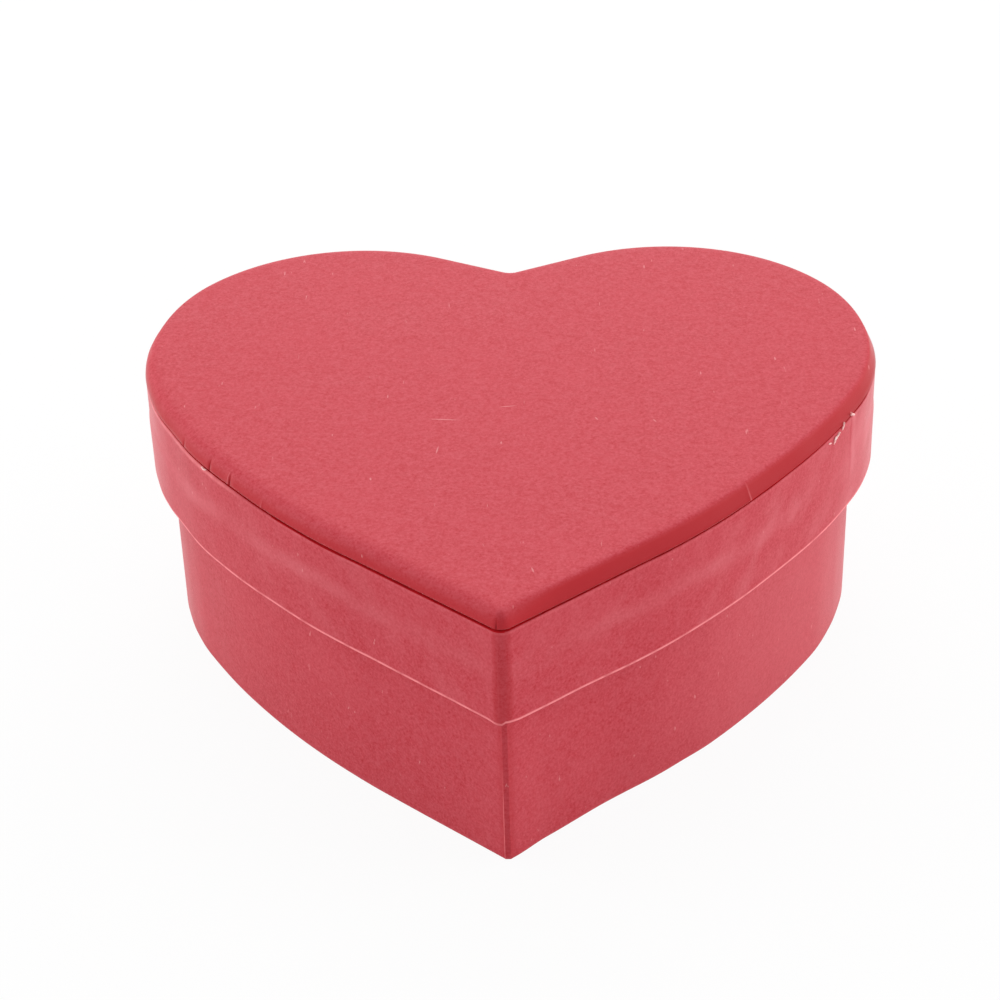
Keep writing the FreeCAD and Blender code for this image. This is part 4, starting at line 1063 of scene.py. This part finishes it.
def tune_pins():
    """Fine pins between the CAD cylinder's rows, each on the track of a tooth."""
    low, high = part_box("pinned_cylinder")
    arbor_low, arbor_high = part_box("cylinder_arbor")
    centre_y = (arbor_low.y + arbor_high.y) / 2
    centre_z = (arbor_low.z + arbor_high.z) / 2
    foot = high.y - centre_y - PIN_HEIGHT
    first = (low.x + high.x) / 2 - PIN_PITCH * (PIN_TRACKS - 1) / 2
    draw = random.Random(TUNE_SEED)
    bm = bmesh.new()
    for row in range(PIN_ROWS):
        angle = 2 * math.pi * (row + 0.5) / PIN_ROWS
        outward = Vector((0, math.cos(angle), math.sin(angle)))
        for track in sorted(draw.sample(range(PIN_TRACKS), draw.choice(PINS_IN_A_ROW))):
            place = Vector((first + PIN_PITCH * track, centre_y, centre_z)) + outward * foot
            lathe(bm, PIN_SHAPE, place, outward, segments=6)
    piece = finish_mesh("tune_pins", bm, SPRING_STEEL, smooth=False)
    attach(piece, "cylinder")


SPRING_INNER, SPRING_STRIP = 5.9 * MM, 0.22 * MM
SPRING_TURNS, SPRING_STEPS = 9, 64  # steps in a turn


def spring_coils():
    """The mainspring as a strip wound in a spiral against its housing."""
    low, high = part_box("mainspring")
    centre = (low + high) / 2
    innermost = SPRING_INNER + SPRING_STRIP
    outermost = (high.x - low.x) / 2
    count = SPRING_TURNS * SPRING_STEPS
    bm = bmesh.new()
    rows = []
    for step in range(count + 1):
        share = step / count
        angle = 2 * math.pi * SPRING_TURNS * share
        radius = innermost + (outermost - innermost) * share
        inside = radius - SPRING_STRIP
        row = []
        for reach, z in ((inside, low.z), (radius, low.z), (radius, high.z), (inside, high.z)):
            row.append(bm.verts.new((centre.x + reach * math.cos(angle),
                                     centre.y + reach * math.sin(angle), z)))
        rows.append(row)
    loft(bm, rows)
    piece = finish_mesh("mainspring_coils", bm, SPRING_STEEL, sharp=METAL_SHARP)
    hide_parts("mainspring")
    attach(piece, "box")


# -------- floor, light and the camera


def seen_as_white(tree):
    """One where the camera, a reflection or glass looks, and zero for light."""
    path = tree.node("ShaderNodeLightPath", {})
    seen = tree.math("MAXIMUM", path.outputs["Is Camera Ray"], path.outputs["Is Glossy Ray"])
    return tree.math("MAXIMUM", seen, path.outputs["Is Transmission Ray"])


WHITE = (1, 1, 1, 1)
FLOOR_SIZE = 4.0
FLOOR_COLOUR = (0.88, 0.88, 0.88, 1)
FLOOR_WHITENESS = 0.93  # how much of the floor is seen as plain white, without its shadow
FLOOR_DROP = 0.02 * MM


def floor():
    """A plain white floor that keeps the object's shadow."""
    bm = bmesh.new()
    bmesh.ops.create_grid(bm, x_segments=1, y_segments=1, size=FLOOR_SIZE)
    tree = Tree("white_floor")
    tree.set(Base_Color=FLOOR_COLOUR, Roughness=0.7, Specular_IOR_Level=0.2)
    white = tree.node("ShaderNodeEmission", {"Color": WHITE, "Strength": 1.0})
    share = tree.math("MULTIPLY", seen_as_white(tree), FLOOR_WHITENESS)
    tree.blend("Material Output", share, tree.shader, white)
    plane = finish_mesh("floor", bm, tree.material, smooth=False)
    plane.location.z = -FLOOR_DROP


class WorldTree(Tree):
    """The world's node tree, with the same helpers."""

    def __init__(self, made):
        self.nodes = made.node_tree.nodes
        self.links = made.node_tree.links


SURROUNDING_LIGHT = 0.62
# the soft lights: name, place, width and power, and where they are turned to
LIGHTS = [("top_light", (0.0, 0.65, 0.65), 0.9, 4.4), ("left_light", (-0.8, 0.1, 0.2), 0.6, 3.4),
          ("right_light", (0.8, 0.1, 0.2), 0.6, 3.9)]
LIT_PLACE = Vector((0, 0, 0.03))


def world():
    """Soft light all round, with a white background behind the object."""
    made = bpy.data.worlds.new("studio")
    made.use_nodes = True
    tree = WorldTree(made)
    lit = tree.nodes["Background"]
    lit.inputs["Color"].default_value = WHITE
    lit.inputs["Strength"].default_value = SURROUNDING_LIGHT
    white = tree.node("ShaderNodeBackground", {"Strength": 1.0})
    tree.blend("World Output", seen_as_white(tree), lit, white)
    bpy.context.scene.world = made


def lights():
    for name, place, width, power in LIGHTS:
        lamp = bpy.data.lights.new(name, "AREA")
        lamp.size = width
        lamp.energy = power
        piece = add(name, lamp)
        piece.location = place
        piece.rotation_euler = (LIT_PLACE - Vector(place)).to_track_quat("-Z", "Y").to_euler()


# the photograph's viewpoint: a little right of the heart's point, looking down
VIEW_AZIMUTH = math.radians(1.909)
VIEW_ELEVATION = math.radians(33.683)
VIEW_ROLL = math.radians(-1.709)
VIEW_DISTANCE = 397.3 * MM
VIEW_TARGET = Vector((-1.479, 4.204, 26.045)) * MM
VIEW_LENS, VIEW_CLIP = 92.41, 0.01  # in millimetres and in metres


def camera():
    turned = Matrix.Rotation(VIEW_AZIMUTH, 4, "Z")
    turned @= Matrix.Rotation(math.pi / 2 - VIEW_ELEVATION, 4, "X")
    turned @= Matrix.Rotation(VIEW_ROLL, 4, "Z")
    back = turned.to_3x3() @ Vector((0, 0, VIEW_DISTANCE))
    lens = bpy.data.cameras.new("camera")
    lens.lens = VIEW_LENS
    lens.clip_start = VIEW_CLIP
    seen_by = add("camera", lens)
    seen_by.matrix_world = Matrix.Translation(VIEW_TARGET + back) @ turned
    bpy.context.scene.camera = seen_by


# -------- build

dress_cad_nodes()
tray_pieces()
lid_pieces()
fasteners()
bracket_feet()
tune_pins()
spring_coils()
floor()
world()
lights()
camera()
bpy.context.scene.view_settings.view_transform = "Standard"
